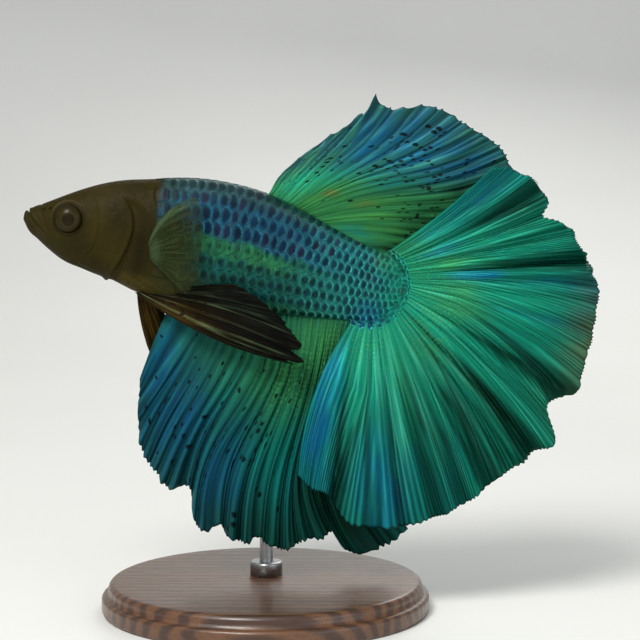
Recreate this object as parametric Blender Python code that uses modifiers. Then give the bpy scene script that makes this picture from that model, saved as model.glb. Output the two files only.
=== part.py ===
"""A betta fish with a half-moon tail, life size, as a still museum model on a plain stand.

Sizes are in millimetres and angles in degrees; to_scene() turns points into Blender's metres.
The fish is built in its own frame: +X runs from the snout to the tail, +Z is up the body's
depth, and +Y is the fish's right side. One empty then sets the nose-up pose over the stand.
"""

import math

import bmesh
import bpy
import numpy as np
from mathutils import Vector

MM = 0.001
GAP = 0.3                       # clearance between pieces that meet

# Pose over the stand
NOSE_UP = 11.2                  # the body's slope, snout above tail
SNOUT_X = -31.9                 # snout tip, from the centre of the stand's base
SNOUT_Z = 53.1

# Stand
BASE_RADIUS = 22.0
BASE_HEIGHT = 4.0
BASE_BEVEL = 0.9
ROD_RADIUS = 0.9
ROD_Y = 2.5                     # the rod stands just behind the anal fin
ROD_TOP = 46.0                  # reaches well into the belly before it is trimmed to the skin
COLLAR_RADIUS = 2.2
COLLAR_HEIGHT = 1.6

# Body stations: distance from the snout, back, belly, half width
BODY = (
    (0.0, 0.3, -0.8, 0.5),
    (0.9, 1.1, -2.0, 1.5),
    (2.4, 2.0, -3.0, 2.2),
    (4.0, 3.0, -4.0, 2.8),
    (6.5, 4.5, -5.2, 3.5),
    (9.0, 5.8, -5.7, 4.0),
    (11.5, 6.8, -6.2, 4.3),
    (14.0, 7.5, -6.7, 4.4),
    (16.0, 8.0, -7.3, 4.5),
    (19.0, 8.7, -7.7, 4.5),
    (22.0, 9.2, -7.8, 4.4),
    (26.0, 9.4, -7.5, 4.1),
    (31.0, 9.0, -7.0, 3.6),
    (36.0, 7.7, -6.5, 3.0),
    (40.0, 6.4, -6.1, 2.4),
    (44.4, 5.0, -5.6, 1.6),
    (48.0, 4.1, -5.2, 1.0),
    (50.2, 2.7, -3.6, 0.6),
    (51.4, 0.0, -0.6, 0.2),
)
BODY_RINGS = 30
BODY_SIDES = 24
SIDE_FULLNESS = 0.85            # below 1 gives fuller flanks than an ellipse

# Cuts through the body
NECK_TOP = (16.6, 7.9)          # the head ends on the slanted line between these
NECK_BOTTOM = (14.4, -6.9)
STALK_START = 43.5              # trunk ends and the tail stalk begins
MOUTH_CUT = ((-2.0, 2.2), (0.8, 0.5), (2.6, -1.3), (4.9, -2.9), (6.3, -7.5), (-2.0, -7.5))

# Gill covers
GILL_CENTRE = (11.45, -0.9)
GILL_RADII = (3.15, 4.5)
GILL_THICKNESS = 0.8

# Eyes
EYE_CENTRE = (6.3, 2.65, 0.55)
EYE_RADII = (1.95, 1.25, 1.95)

# Fins. Each ray row is: share across the fin, angle at the root, bend from root to tip,
# length, how far its tip leans to the fish's right, and for some fins a sway of its middle.
# Each notch row is: share, depth, half width. The feet of the dorsal and anal rays are
# stations along the body, those of the tail's rays are turns round the end of the stalk.
FIN_THICKNESS = 0.55
FIN_INSET = 0.4                 # how far fins start inside the skin before they are trimmed to it
CAUDAL = {
    "rays": (
        (0.0, 46, 10, 18.0, -4.6),
        (0.1, 36, 12, 21.0, -4.2),
        (0.2, 26, 6, 22.0, -3.6),
        (0.3, 16, 2, 24.3, -3.3),
        (0.4, 10, -2, 25.9, -3.0),
        (0.5, -5, -2, 25.7, -3.0),
        (0.6, -23, -3, 26.3, -3.1),
        (0.7, -41, -3, 26.3, -3.6),
        (0.8, -63, 0, 27.1, -3.9),
        (0.9, -86, 8, 27.0, -4.5),
        (1.0, -116, 34, 22.0, -5.2),
    ),
    "notches": ((0.19, 1.8, 0.02), (0.36, 0.8, 0.02), (0.6, 2.2, 0.022), (0.95, 1.5, 0.02)),
    "feet": (
        (0.0, 74), (0.1, 57), (0.3, 30), (0.6, -7), (0.7, -28), (0.8, -52), (0.9, -79), (1.0, -106)
    ),
    "centre": (46.8, -0.4),
    "radii": (4.3, 4.7),
    "folds": 9,
    "fold_depth": 1.1,
    "grid": (60, 5),
}
DORSAL = {
    "rays": (
        (0.0, 63, 2, 2.7, 0.0, 10),
        (0.1, 58, 0, 11.9, 0.4, 0),
        (0.2, 56, 8, 19.9, 0.6, -6),
        (0.3, 46, 17, 22.1, 0.8, -10),
        (0.4, 43, 4, 24.8, 1.0, -11),
        (0.5, 41, -2, 27.0, 1.1, -17),
        (0.6, 32, 3, 28.4, 1.3, -14),
        (0.7, 25, 2, 27.2, 1.5, -12),
        (0.8, 20, -5, 23.9, 1.6, -9),
        (0.9, 13, -2, 17.8, 1.5, -10),
        (1.0, 16, -13, 8.0, 1.3, -3),
    ),
    "notches": ((0.16, 1.4, 0.03), (0.25, 2.4, 0.04)),
    "feet": (
        (0.0, 31.1), (0.1, 32.1), (0.2, 33.5), (0.3, 34.5), (0.5, 35.7), (0.7, 37.2), (0.8, 38.4),
        (0.9, 40.8), (1.0, 46.8),
    ),
    "folds": 3,
    "fold_depth": 0.45,
    "grid": (40, 4),
}
ANAL = {
    "rays": (
        (0.0, -108, 10, 11.4, -0.3, 2),
        (0.05, -98, -18, 16.5, -0.4, -5),
        (0.1, -100, -4, 21.2, -0.6, -10),
        (0.2, -94, -8, 25.2, -0.8, -11),
        (0.35, -82, 0, 31.1, -1.0, -31),
        (0.5, -83, 2, 31.8, -1.2, -22),
        (0.65, -86, 8, 31.9, -1.0, -13),
        (0.8, -90, 37, 31.0, 0.0, -22),
        (0.9, -88, 46, 33.5, 0.7, -20),
        (1.0, -82, 38, 30.2, 1.4, -2),
    ),
    "notches": ((0.29, 3.0, 0.035), (0.42, 1.5, 0.02), (0.56, 1.3, 0.02), (0.83, 1.6, 0.025)),
    "feet": (
        (0.0, 21.5), (0.05, 25.1), (0.1, 27.0), (0.2, 30.2), (0.35, 34.4), (0.5, 38.0), (0.65, 41.4),
        (0.8, 43.5), (1.0, 45.0),
    ),
    "folds": 7,
    "fold_depth": 0.8,
    "grid": (50, 5),
}
PELVIC_LEFT = {
    "rays": (
        (0.0, -25, 24, 22.0, 3.2),
        (0.3, -14, 6, 23.5, 3.2),
        (0.5, 1, -16, 22.3, 3.1),
        (0.75, 16, -20, 16.2, 2.9),
        (1.0, 21, -6, 11.0, 2.5),
    ),
    "notches": ((0.15, 1.4, 0.06), (0.4, 1.6, 0.06)),
    "feet": ((16.4, -7.3), (18.3, -6.9)),
    "foot_y": 1.4,
    "folds": 2,
    "fold_depth": 0.2,
    "grid": (14, 6),
}
PELVIC_RIGHT = {
    "rays": (
        (0.0, -78, 30, 14.0, 2.0),
        (0.5, -66, 10, 13.2, 2.4),
        (1.0, -49, -20, 11.0, 2.8),
    ),
    "notches": ((0.3, 0.8, 0.06), (0.7, 0.8, 0.06)),
    "feet": ((16.4, -7.3), (18.3, -6.9)),
    "foot_y": 1.4,
    "folds": 2,
    "fold_depth": 0.2,
    "grid": (12, 5),
}
PECTORAL = {
    "rays": (
        (0.0, 67, -26, 8.6, 2.6),
        (0.25, 45, -14, 8.1, 3.0),
        (0.5, 19, -4, 7.5, 3.2),
        (0.75, -6, 4, 7.0, 3.2),
        (1.0, -28, 10, 6.3, 3.0),
    ),
    "notches": (),
    "feet": ((17.3, -0.7), (17.8, -2.4)),
    "foot_y": 4.2,
    "folds": 3,
    "fold_depth": 0.15,
    "grid": (14, 4),
}


# ---------------------------------------------------------------- curves and points

def smooth(table, x):
    """Cubic curve through rows of (position, value, ...), read at x."""
    rows = np.asarray(table, float)
    knots, values = rows[:, 0], rows[:, 1:]
    x = min(max(x, knots[0]), knots[-1])
    slopes = np.gradient(values, knots, axis=0)
    i = int(np.clip(np.searchsorted(knots, x, side="right") - 1, 0, len(knots) - 2))
    span = knots[i + 1] - knots[i]
    t = (x - knots[i]) / span
    return (
        (2 * t**3 - 3 * t**2 + 1) * values[i]
        + (t**3 - 2 * t**2 + t) * span * slopes[i]
        + (3 * t**2 - 2 * t**3) * values[i + 1]
        + (t**3 - t**2) * span * slopes[i + 1]
    )


def to_scene(x, y, z):
    return Vector((x, y, z)) * MM


def skin_point(x, angle, grow=0.0):
    """Point of the body's surface at a station, at this angle round it (0 is the right flank)."""
    back, belly, half = smooth(BODY, x)
    across, up = math.cos(angle), math.sin(angle)
    y = max(half + grow, 0.05) * math.copysign(abs(across) ** SIDE_FULLNESS, across)
    z = (back + belly) / 2 + max((back - belly) / 2 + grow, 0.05) * up
    return x, y, z


def median_foot(fin, u, side):
    """Foot of a ray on the back (side 1) or the belly (side -1), a little under the skin."""
    x = smooth(fin["feet"], u)[0]
    back, belly, _ = smooth(BODY, x)
    return (x, back - FIN_INSET) if side > 0 else (x, belly + FIN_INSET)


def caudal_foot(fin, u, side):
    """Foot of a tail ray on an oval round the end of the stalk."""
    turn = math.radians(smooth(fin["feet"], u)[0])
    x, z = fin["centre"]
    return x + fin["radii"][0] * math.cos(turn), z + fin["radii"][1] * math.sin(turn)


def paired_foot(fin, u, side):
    """Foot of a ray on the short line where a paired fin joins the body."""
    (x0, z0), (x1, z1) = fin["feet"]
    return x0 + (x1 - x0) * u, z0 + (z1 - z0) * u


def fin_point(fin, foot, side, u, v, steps=12):
    """Point of a fin at share u across it and share v from root to tip."""
    root, bend, length, lean, *sway = smooth(fin["rays"], u)
    for share, depth, width in fin["notches"]:
        length -= depth * math.exp(-(((u - share) / width) ** 2))
    x, z = foot(fin, u, side)
    for step in range(steps):
        walked = min(max(v * steps - step, 0.0), 1.0) * length / steps
        part = (step + 0.5) / steps
        angle = math.radians(root + bend * part + sum(sway) * math.sin(math.pi * part) ** 2)
        x += math.cos(angle) * walked
        z += math.sin(angle) * walked
    turn = 2 * math.pi * (fin["folds"] * u + 0.17 * math.sin(2 * math.pi * u))
    y = lean * v * (1.6 - 0.6 * v) + fin["fold_depth"] * v * math.sin(turn)
    if "foot_y" in fin:
        y = side * (fin["foot_y"] + y)
    return x, y, z


# ---------------------------------------------------------------- scene helpers

def face_outwards(bm):
    bm.normal_update()
    bmesh.ops.recalc_face_normals(bm, faces=bm.faces)


def clear_scene():
    for obj in list(bpy.data.objects):
        bpy.data.objects.remove(obj, do_unlink=True)


def new_collection(name):
    collection = bpy.data.collections.new(name)
    bpy.context.scene.collection.children.link(collection)
    return collection


def new_material(name, colour, roughness, metallic=0.0):
    material = bpy.data.materials.new(name)
    material.use_nodes = True
    shader = material.node_tree.nodes["Principled BSDF"]
    shader.inputs["Base Color"].default_value = (*colour, 1.0)
    shader.inputs["Roughness"].default_value = roughness
    shader.inputs["Metallic"].default_value = metallic
    material.diffuse_color = (*colour, 1.0)
    return material


def add_object(name, bm, collection, material=None, pose=None):
    """Turns a bmesh into an object whose origin is the frame it was built in."""
    mesh = bpy.data.meshes.new(name)
    bm.to_mesh(mesh)
    bm.free()
    mesh.shade_smooth()
    obj = bpy.data.objects.new(name, mesh)
    collection.objects.link(obj)
    if material:
        mesh.materials.append(material)
    obj.parent = pose
    return obj


def add_cutter(name, bm, collection, pose=None):
    cutter = add_object(name, bm, collection, None, pose)
    cutter.hide_render = True
    cutter.display_type = "WIRE"
    return cutter


def boolean(obj, other, operation):
    modifier = obj.modifiers.new(operation.title(), "BOOLEAN")
    modifier.operation = operation
    modifier.object = other
    modifier.solver = "EXACT"


# ---------------------------------------------------------------- the body, cut into its parts

def body_mesh(grow=0.0):
    """The whole body: a sphere whose rings are moved onto the body's stations."""
    bm = bmesh.new()
    bmesh.ops.create_uvsphere(bm, u_segments=BODY_SIDES, v_segments=BODY_RINGS, radius=1.0)
    length = BODY[-1][0]
    for vertex in bm.verts:
        share = math.acos(max(-1.0, min(1.0, vertex.co.z))) / math.pi
        eased = (1 - math.cos(math.pi * share)) / 2
        x = length * (0.55 * eased + 0.45 * share)
        if 1e-6 < share < 1 - 1e-6:
            angle = math.atan2(vertex.co.y, vertex.co.x)
            vertex.co = to_scene(*skin_point(x, angle, grow))
        else:
            back, belly, _ = smooth(BODY, x)
            cap = max(grow, 0.0) + GAP / 2
            vertex.co = to_scene(x - cap if share < 0.5 else x + cap, 0.0, (back + belly) / 2)
    face_outwards(bm)
    return bm


def keep_side(bm, point, normal):
    """Cuts a closed mesh with a plane, keeps what lies behind the normal, and closes the cut."""
    geometry = bm.verts[:] + bm.edges[:] + bm.faces[:]
    cut = bmesh.ops.bisect_plane(
        bm, geom=geometry, plane_co=point, plane_no=normal, clear_outer=True, dist=1e-7
    )
    edges = [item for item in cut["geom_cut"] if isinstance(item, bmesh.types.BMEdge)]
    bmesh.ops.holes_fill(bm, edges=edges, sides=0)
    face_outwards(bm)
    return bm


def prism(outline, half_width, grow=0.0):
    """A closed outline in the XZ plane, carried across the body, and swollen by grow."""
    bm = bmesh.new()
    centre = np.mean(outline, axis=0)
    rim = []
    for point in outline:
        away = np.subtract(point, centre)
        x, z = point + away / np.linalg.norm(away) * grow
        rim.append(bm.verts.new(to_scene(x, -half_width, z)))
    face = bm.faces.new(rim)
    made = bmesh.ops.extrude_face_region(bm, geom=[face])["geom"]
    moved = [item for item in made if isinstance(item, bmesh.types.BMVert)]
    bmesh.ops.translate(bm, verts=moved, vec=to_scene(0, 2 * half_width, 0))
    face_outwards(bm)
    return bm


def ellipsoid(centre, radii, segments, rings):
    bm = bmesh.new()
    bmesh.ops.create_uvsphere(bm, u_segments=segments, v_segments=rings, radius=1.0)
    for vertex in bm.verts:
        vertex.co = to_scene(*[c + r * value for c, r, value in zip(centre, radii, vertex.co)])
    return bm


def gill_prism(side, grow=0.0, sides=20):
    """An oval bar that leaves the head sideways, where a gill cover sits."""
    turns = [2 * math.pi * i / sides for i in range(sides)]
    outline = [
        (
            GILL_CENTRE[0] + GILL_RADII[0] * math.cos(turn),
            GILL_CENTRE[1] + GILL_RADII[1] * math.sin(turn),
        )
        for turn in turns
    ]
    bm = prism(outline, half_width=2.2, grow=grow)
    bmesh.ops.translate(bm, verts=bm.verts, vec=to_scene(0, side * 4.2, 0))
    return bm


def neck_plane(shift):
    """Point and tailward normal of the slanted cut behind the head, moved along the body."""
    top, bottom = np.array(NECK_TOP), np.array(NECK_BOTTOM)
    along = (top - bottom) / np.linalg.norm(top - bottom)
    return to_scene(bottom[0] + shift, 0, bottom[1]), Vector((along[1], 0, -along[0]))


def build_jaw(head, parts, cutters, pose, paint):
    """The lower jaw, under the slanting mouth, and the room for it in the head."""
    jaw = add_object("lower_jaw", keep_side(body_mesh(), *neck_plane(-GAP / 2)), parts, paint, pose)
    boolean(jaw, add_cutter("jaw_bar", prism(MOUTH_CUT, 8), cutters, pose), "INTERSECT")
    boolean(head, add_cutter("jaw_slot", prism(MOUTH_CUT, 9, GAP), cutters, pose), "DIFFERENCE")


def build_gill_cover(word, side, head, shells, parts, cutters, pose, paint):
    """One gill cover: a curved plate of the skin's own shape, in a pocket of the head."""
    inside, pocket_floor = shells
    slot = add_cutter(f"gill_slot_{word}", gill_prism(side, GAP), cutters, pose)
    boolean(slot, pocket_floor, "DIFFERENCE")
    boolean(head, slot, "DIFFERENCE")
    cover = add_object(f"gill_cover_{word}", body_mesh(), parts, paint, pose)
    boolean(cover, add_cutter(f"gill_bar_{word}", gill_prism(side), cutters, pose), "INTERSECT")
    boolean(cover, inside, "DIFFERENCE")


def build_eye(word, side, head, parts, cutters, pose, paint):
    """One eye, and the socket that it sits in."""
    centre = (EYE_CENTRE[0], side * EYE_CENTRE[1], EYE_CENTRE[2])
    roomy = [radius + GAP for radius in EYE_RADII]
    socket = add_cutter(f"socket_{word}", ellipsoid(centre, roomy, 16, 10), cutters, pose)
    boolean(head, socket, "DIFFERENCE")
    add_object(f"eye_{word}", ellipsoid(centre, EYE_RADII, 16, 8), parts, paint, pose)


def build_body(parts, cutters, pose, paint):
    head_mesh = keep_side(body_mesh(), *neck_plane(-GAP / 2))
    head = add_object("head", head_mesh, parts, paint["head"], pose)
    build_jaw(head, parts, cutters, pose, paint["head"])
    shells = (
        add_cutter("under_gill", body_mesh(-GILL_THICKNESS), cutters, pose),
        add_cutter("pocket_floor", body_mesh(-GILL_THICKNESS - GAP), cutters, pose),
    )
    for word, side in (("left", -1), ("right", 1)):
        build_gill_cover(word, side, head, shells, parts, cutters, pose, paint["head"])
        build_eye(word, side, head, parts, cutters, pose, paint["eye"])

    neck, tailward = neck_plane(GAP / 2)
    trunk = keep_side(body_mesh(), neck, -tailward)
    trunk = keep_side(trunk, to_scene(STALK_START - GAP / 2, 0, 0), Vector((1, 0, 0)))
    add_object("trunk", trunk, parts, paint["scales"], pose)
    stalk = keep_side(body_mesh(), to_scene(STALK_START + GAP / 2, 0, 0), Vector((-1, 0, 0)))
    add_object("tail_stalk", stalk, parts, paint["scales"], pose)


# ---------------------------------------------------------------- fins

def build_fin(name, fin, foot, side, clear, parts, pose, paint):
    """A fin: a flat grid moved onto its rays, thickened, and trimmed clear of the body."""
    bm = bmesh.new()
    bmesh.ops.create_grid(bm, x_segments=fin["grid"][0], y_segments=fin["grid"][1], size=0.5)
    for vertex in bm.verts:
        u, v = vertex.co.x + 0.5, vertex.co.y + 0.5
        vertex.co = to_scene(*fin_point(fin, foot, side, u, v))
    face_outwards(bm)
    obj = add_object(name, bm, parts, paint, pose)
    shell = obj.modifiers.new("Thickness", "SOLIDIFY")
    shell.thickness = FIN_THICKNESS * MM
    shell.offset = 0.0
    boolean(obj, clear, "DIFFERENCE")


def build_fins(clear, parts, pose, paint):
    build_fin("caudal_fin", CAUDAL, caudal_foot, 0, clear, parts, pose, paint["caudal"])
    build_fin("dorsal_fin", DORSAL, median_foot, 1, clear, parts, pose, paint["dorsal"])
    build_fin("anal_fin", ANAL, median_foot, -1, clear, parts, pose, paint["anal"])
    for word, side, pelvic in (("left", -1, PELVIC_LEFT), ("right", 1, PELVIC_RIGHT)):
        name = f"pelvic_fin_{word}"
        build_fin(name, pelvic, paired_foot, side, clear, parts, pose, paint["pelvic"])
        name = f"pectoral_fin_{word}"
        build_fin(name, PECTORAL, paired_foot, side, clear, parts, pose, paint["pectoral"])


# ---------------------------------------------------------------- stand

def disc(radius, low, high, sides, y=0.0):
    bm = bmesh.new()
    bmesh.ops.create_cone(
        bm,
        cap_ends=True,
        segments=sides,
        radius1=radius * MM,
        radius2=radius * MM,
        depth=(high - low) * MM,
    )
    bmesh.ops.translate(bm, verts=bm.verts, vec=to_scene(0, y, (low + high) / 2))
    return bm


def build_stand(clear, parts, cutters, paint):
    base = add_object("stand_base", disc(BASE_RADIUS, 0, BASE_HEIGHT, 44), parts, paint["base"])
    edge = base.modifiers.new("Rounded rim", "BEVEL")
    edge.width = BASE_BEVEL * MM
    edge.segments = 2
    edge.limit_method = "ANGLE"

    foot = BASE_HEIGHT + GAP
    top = foot + COLLAR_HEIGHT
    collar_disc = disc(COLLAR_RADIUS, foot, top, 24, ROD_Y)
    collar = add_object("stand_collar", collar_disc, parts, paint["rod"])
    bore = disc(ROD_RADIUS + GAP, foot - 1, top + 1, 16, ROD_Y)
    boolean(collar, add_cutter("collar_bore", bore, cutters), "DIFFERENCE")

    rod = add_object("stand_rod", disc(ROD_RADIUS, foot, ROD_TOP, 20, ROD_Y), parts, paint["rod"])
    boolean(rod, clear, "DIFFERENCE")


def main():
    clear_scene()
    parts = new_collection("betta_fish")
    cutters = new_collection("cutters")
    pose = bpy.data.objects.new("fish_pose", None)
    parts.objects.link(pose)
    pose.location = to_scene(SNOUT_X, 0, SNOUT_Z)
    pose.rotation_euler = (0, math.radians(NOSE_UP), 0)
    bpy.context.view_layer.update()
    paint = {
        "head": new_material("head skin", (0.035, 0.028, 0.008), 0.5),
        "scales": new_material("blue scales", (0.012, 0.09, 0.11), 0.35, 0.3),
        "eye": new_material("eye", (0.012, 0.011, 0.006), 0.08),
        "caudal": new_material("tail fin", (0.012, 0.17, 0.13), 0.5),
        "dorsal": new_material("dorsal fin", (0.02, 0.12, 0.12), 0.5),
        "anal": new_material("anal fin", (0.012, 0.075, 0.065), 0.5),
        "pelvic": new_material("pelvic fin", (0.02, 0.018, 0.004), 0.55),
        "pectoral": new_material("pectoral fin", (0.08, 0.1, 0.05), 0.45),
        "base": new_material("stained wood", (0.05, 0.025, 0.014), 0.45),
        "rod": new_material("steel rod", (0.55, 0.55, 0.56), 0.3, 1.0),
    }
    build_body(parts, cutters, pose, paint)
    clear = add_cutter("body_clearance", body_mesh(GAP), cutters, pose)
    build_fins(clear, parts, pose, paint)
    build_stand(clear, parts, cutters, paint)


main()
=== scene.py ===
import math

import bpy
import numpy as np
from mathutils import Matrix, Vector


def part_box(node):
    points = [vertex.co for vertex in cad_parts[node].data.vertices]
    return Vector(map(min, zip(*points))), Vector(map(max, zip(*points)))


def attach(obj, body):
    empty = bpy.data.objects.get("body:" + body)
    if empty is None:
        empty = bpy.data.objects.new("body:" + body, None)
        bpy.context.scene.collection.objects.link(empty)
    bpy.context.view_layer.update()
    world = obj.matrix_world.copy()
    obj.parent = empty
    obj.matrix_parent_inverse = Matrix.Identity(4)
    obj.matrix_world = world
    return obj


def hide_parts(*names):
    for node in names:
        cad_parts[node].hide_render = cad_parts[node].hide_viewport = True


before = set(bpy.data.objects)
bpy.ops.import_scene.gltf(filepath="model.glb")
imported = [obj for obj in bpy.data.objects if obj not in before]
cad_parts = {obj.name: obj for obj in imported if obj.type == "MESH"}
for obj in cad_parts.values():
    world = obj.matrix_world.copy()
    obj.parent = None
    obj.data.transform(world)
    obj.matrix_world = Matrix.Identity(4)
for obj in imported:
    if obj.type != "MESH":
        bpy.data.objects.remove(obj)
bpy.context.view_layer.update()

mm = 0.001
fullTurn = 2 * math.pi

fish = {
    "noseUp": 11.2,  # degrees, snout above tail
    "fullness": 0.85,  # below 1 gives fuller flanks than an ellipse
    "length": 51.4,
    "thinnest": 0.05,  # least half width and half height
    "sunk": 0.4,  # how deep the roots of the fins stand in the body
    "unwrap": 56.0,  # the flat map runs on over the root of the tail fin
    "rows": (  # distance from the snout, back, belly, half width
        (0.0, 0.3, -0.8, 0.5), (0.9, 1.1, -2.0, 1.5), (2.4, 2.0, -3.0, 2.2), (4.0, 3.0, -4.0, 2.8),
        (6.5, 4.5, -5.2, 3.5), (9.0, 5.8, -5.7, 4.0), (11.5, 6.8, -6.2, 4.3), (14.0, 7.5, -6.7, 4.4),
        (16.0, 8.0, -7.3, 4.5), (19.0, 8.7, -7.7, 4.5), (22.0, 9.2, -7.8, 4.4), (26.0, 9.4, -7.5, 4.1),
        (31.0, 9.0, -7.0, 3.6), (36.0, 7.7, -6.5, 3.0), (40.0, 6.4, -6.1, 2.4), (44.4, 5.0, -5.6, 1.6),
        (48.0, 4.1, -5.2, 1.0), (50.2, 2.7, -3.6, 0.6), (51.4, 0.0, -0.6, 0.2),
    ),
}
eye = {
    "x": 6.3, "z": 0.55, "radii": (1.95, 1.25, 1.95), "rings": 48, "sides": 72,
    "pupil": (0.8, 0.9),  # these bands start and end so far from the pupil's middle
    "ring": (0.82, 0.92, 0.96, 1.12),
    "outer": (1.4, 1.8),
}

# Where the fish hangs over the stand, from the left eye's own box
eyeLow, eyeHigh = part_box("eye_left")
eyeMid = (eyeLow + eyeHigh) / 2
tilt = math.radians(fish["noseUp"])
snoutX = eyeMid.x - (eye["x"] * math.cos(tilt) + eye["z"] * math.sin(tilt)) * mm
snoutZ = eyeMid.z + (eye["x"] * math.sin(tilt) - eye["z"] * math.cos(tilt)) * mm


def toFrame(points):  # fish millimetres to the shared frame's metres
    x, y, z = np.moveaxis(points, -1, 0)
    along = snoutX + (x * math.cos(tilt) + z * math.sin(tilt)) * mm
    up = snoutZ + (z * math.cos(tilt) - x * math.sin(tilt)) * mm
    return np.stack([along, y * mm, up], axis=-1)


def toFish(points):  # and back, as distance from the snout and height
    along, up = (points[..., 0] - snoutX) / mm, (points[..., 2] - snoutZ) / mm
    return along * math.cos(tilt) - up * math.sin(tilt), along * math.sin(tilt) + up * math.cos(tilt)


def smooth(rows, x):  # cubic curve through rows of (position, value, ...)
    rows = np.asarray(rows, float)
    knots, values = rows[:, 0], rows[:, 1:]
    x = np.clip(np.asarray(x, float), knots[0], knots[-1])
    slopes = np.gradient(values, knots, axis=0)
    i = np.clip(np.searchsorted(knots, x, side="right") - 1, 0, len(knots) - 2)
    room = (knots[i + 1] - knots[i])[..., None]
    t = (x - knots[i])[..., None] / room
    return (
        (2 * t**3 - 3 * t**2 + 1) * values[i]
        + (t**3 - 2 * t**2 + t) * room * slopes[i]
        + (3 * t**2 - 2 * t**3) * values[i + 1]
        + (t**3 - t**2) * room * slopes[i + 1]
    )


def ease(value, low, high):  # 0 before low, 1 after high, smooth between
    t = np.clip((value - low) / (high - low), 0, 1)
    return t * t * (3 - 2 * t)


def window(value, start, full, fall, end):  # 0 outside start and end, 1 from full to fall
    return ease(value, start, full) * (1 - ease(value, fall, end))


def hump(value, centre, width):
    return np.exp(-(((value - centre) / width) ** 2))


def softSpot(a, b, placeA, placeB, wide, tall, strength):  # a patch that fades out all round
    return strength * np.exp(-(((a - placeA) / wide) ** 2) - ((b - placeB) / tall) ** 2)


def wander(seed, *coords):  # slow irregular swing, mostly between -1 and 1
    dice = np.random.default_rng(seed)
    total = 0.0
    for wave in range(6):
        pace = dice.uniform(0.5, 1.5, len(coords)) * dice.choice((-1, 1), len(coords)) * (1 + 0.55 * wave)
        phase = sum(coord * rate for coord, rate in zip(coords, pace))
        total = total + np.sin(fullTurn * phase + dice.uniform(0, 6.28)) / (1 + 0.4 * wave)
    return total / 2.2


def lineGap(points, x, z, count=40):  # distance to a smooth line through points, and how far along it
    rows = [(i / (len(points) - 1), *point) for i, point in enumerate(points)]
    line = smooth(rows, np.linspace(0, 1, count))
    best = np.full(np.shape(x), np.inf)
    share = np.zeros(np.shape(x))
    for i in range(count - 1):
        a, b = line[i], line[i + 1]
        step = b - a
        t = np.clip(((x - a[0]) * step[0] + (z - a[1]) * step[1]) / step.dot(step), 0, 1)
        gap = np.hypot(x - a[0] - t * step[0], z - a[1] - t * step[1])
        nearer = gap < best
        best = np.where(nearer, gap, best)
        share = np.where(nearer, (i + t) / (count - 1), share)
    return best, share


def rgb(red, green, blue):  # a screen colour, 0 to 255, as linear light
    value = np.array([red, green, blue]) / 255
    return np.where(value <= 0.04045, value / 12.92, ((value + 0.055) / 1.055) ** 2.4)


paints = {name: rgb(*shades) for name, *shades in (
    ("oliveBlack", 22, 20, 3), ("headBrown", 44, 38, 8), ("headShade", 31, 27, 5),
    ("cheekBrown", 52, 46, 12), ("headGreen", 40, 43, 12), ("mauveBrown", 56, 44, 26),
    ("breast", 72, 62, 16), ("navy", 12, 42, 64), ("plum", 44, 34, 58), ("steel", 44, 108, 128),
    ("backGrey", 40, 62, 58), ("backRim", 72, 100, 88), ("tealBlue", 12, 68, 94), ("blue", 10, 66, 110),
    ("bandGreen", 20, 84, 64), ("teal", 10, 56, 46), ("tealDeep", 8, 72, 80), ("tealRim", 28, 100, 86),
    ("cyanRim", 60, 172, 162), ("mint", 26, 150, 122), ("paleMint", 70, 180, 150), ("seaGreen", 12, 118, 98),
    ("green", 40, 108, 62), ("leaf", 64, 136, 62), ("leafPale", 62, 146, 84), ("pine", 8, 58, 42),
    ("nightGreen", 5, 34, 24), ("finTeal", 6, 108, 108), ("finBlue", 10, 94, 134), ("skyBlue", 30, 132, 170),
    ("slate", 38, 84, 96), ("rimGrey", 74, 96, 66), ("dusk", 18, 76, 108), ("tealDim", 14, 74, 72),
    ("filmOlive", 42, 50, 24), ("browPale", 92, 78, 54), ("spring", 46, 120, 78), ("rust", 96, 74, 30),
    ("finBrown", 20, 17, 6), ("ochre", 92, 70, 20), ("black", 8, 12, 12),
)}


def blend(base, colour, mask):
    mask = np.clip(mask, 0, 1)[..., None]
    return base * (1 - mask) + np.asarray(colour) * mask


def wash(base, name, mask):
    return blend(base, paints[name], mask)


# The body's surface

def bodyPoints(x, angle, grow=0.0):
    back, belly, half = np.moveaxis(smooth(fish["rows"], x), -1, 0)
    across, up = np.cos(angle), np.sin(angle)
    y = np.maximum(half + grow, fish["thinnest"]) * np.sign(across) * np.abs(across) ** fish["fullness"]
    z = (back + belly) / 2 + np.maximum((back - belly) / 2 + grow, fish["thinnest"]) * up
    return np.stack(np.broadcast_arrays(x, y, z), axis=-1)


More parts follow.
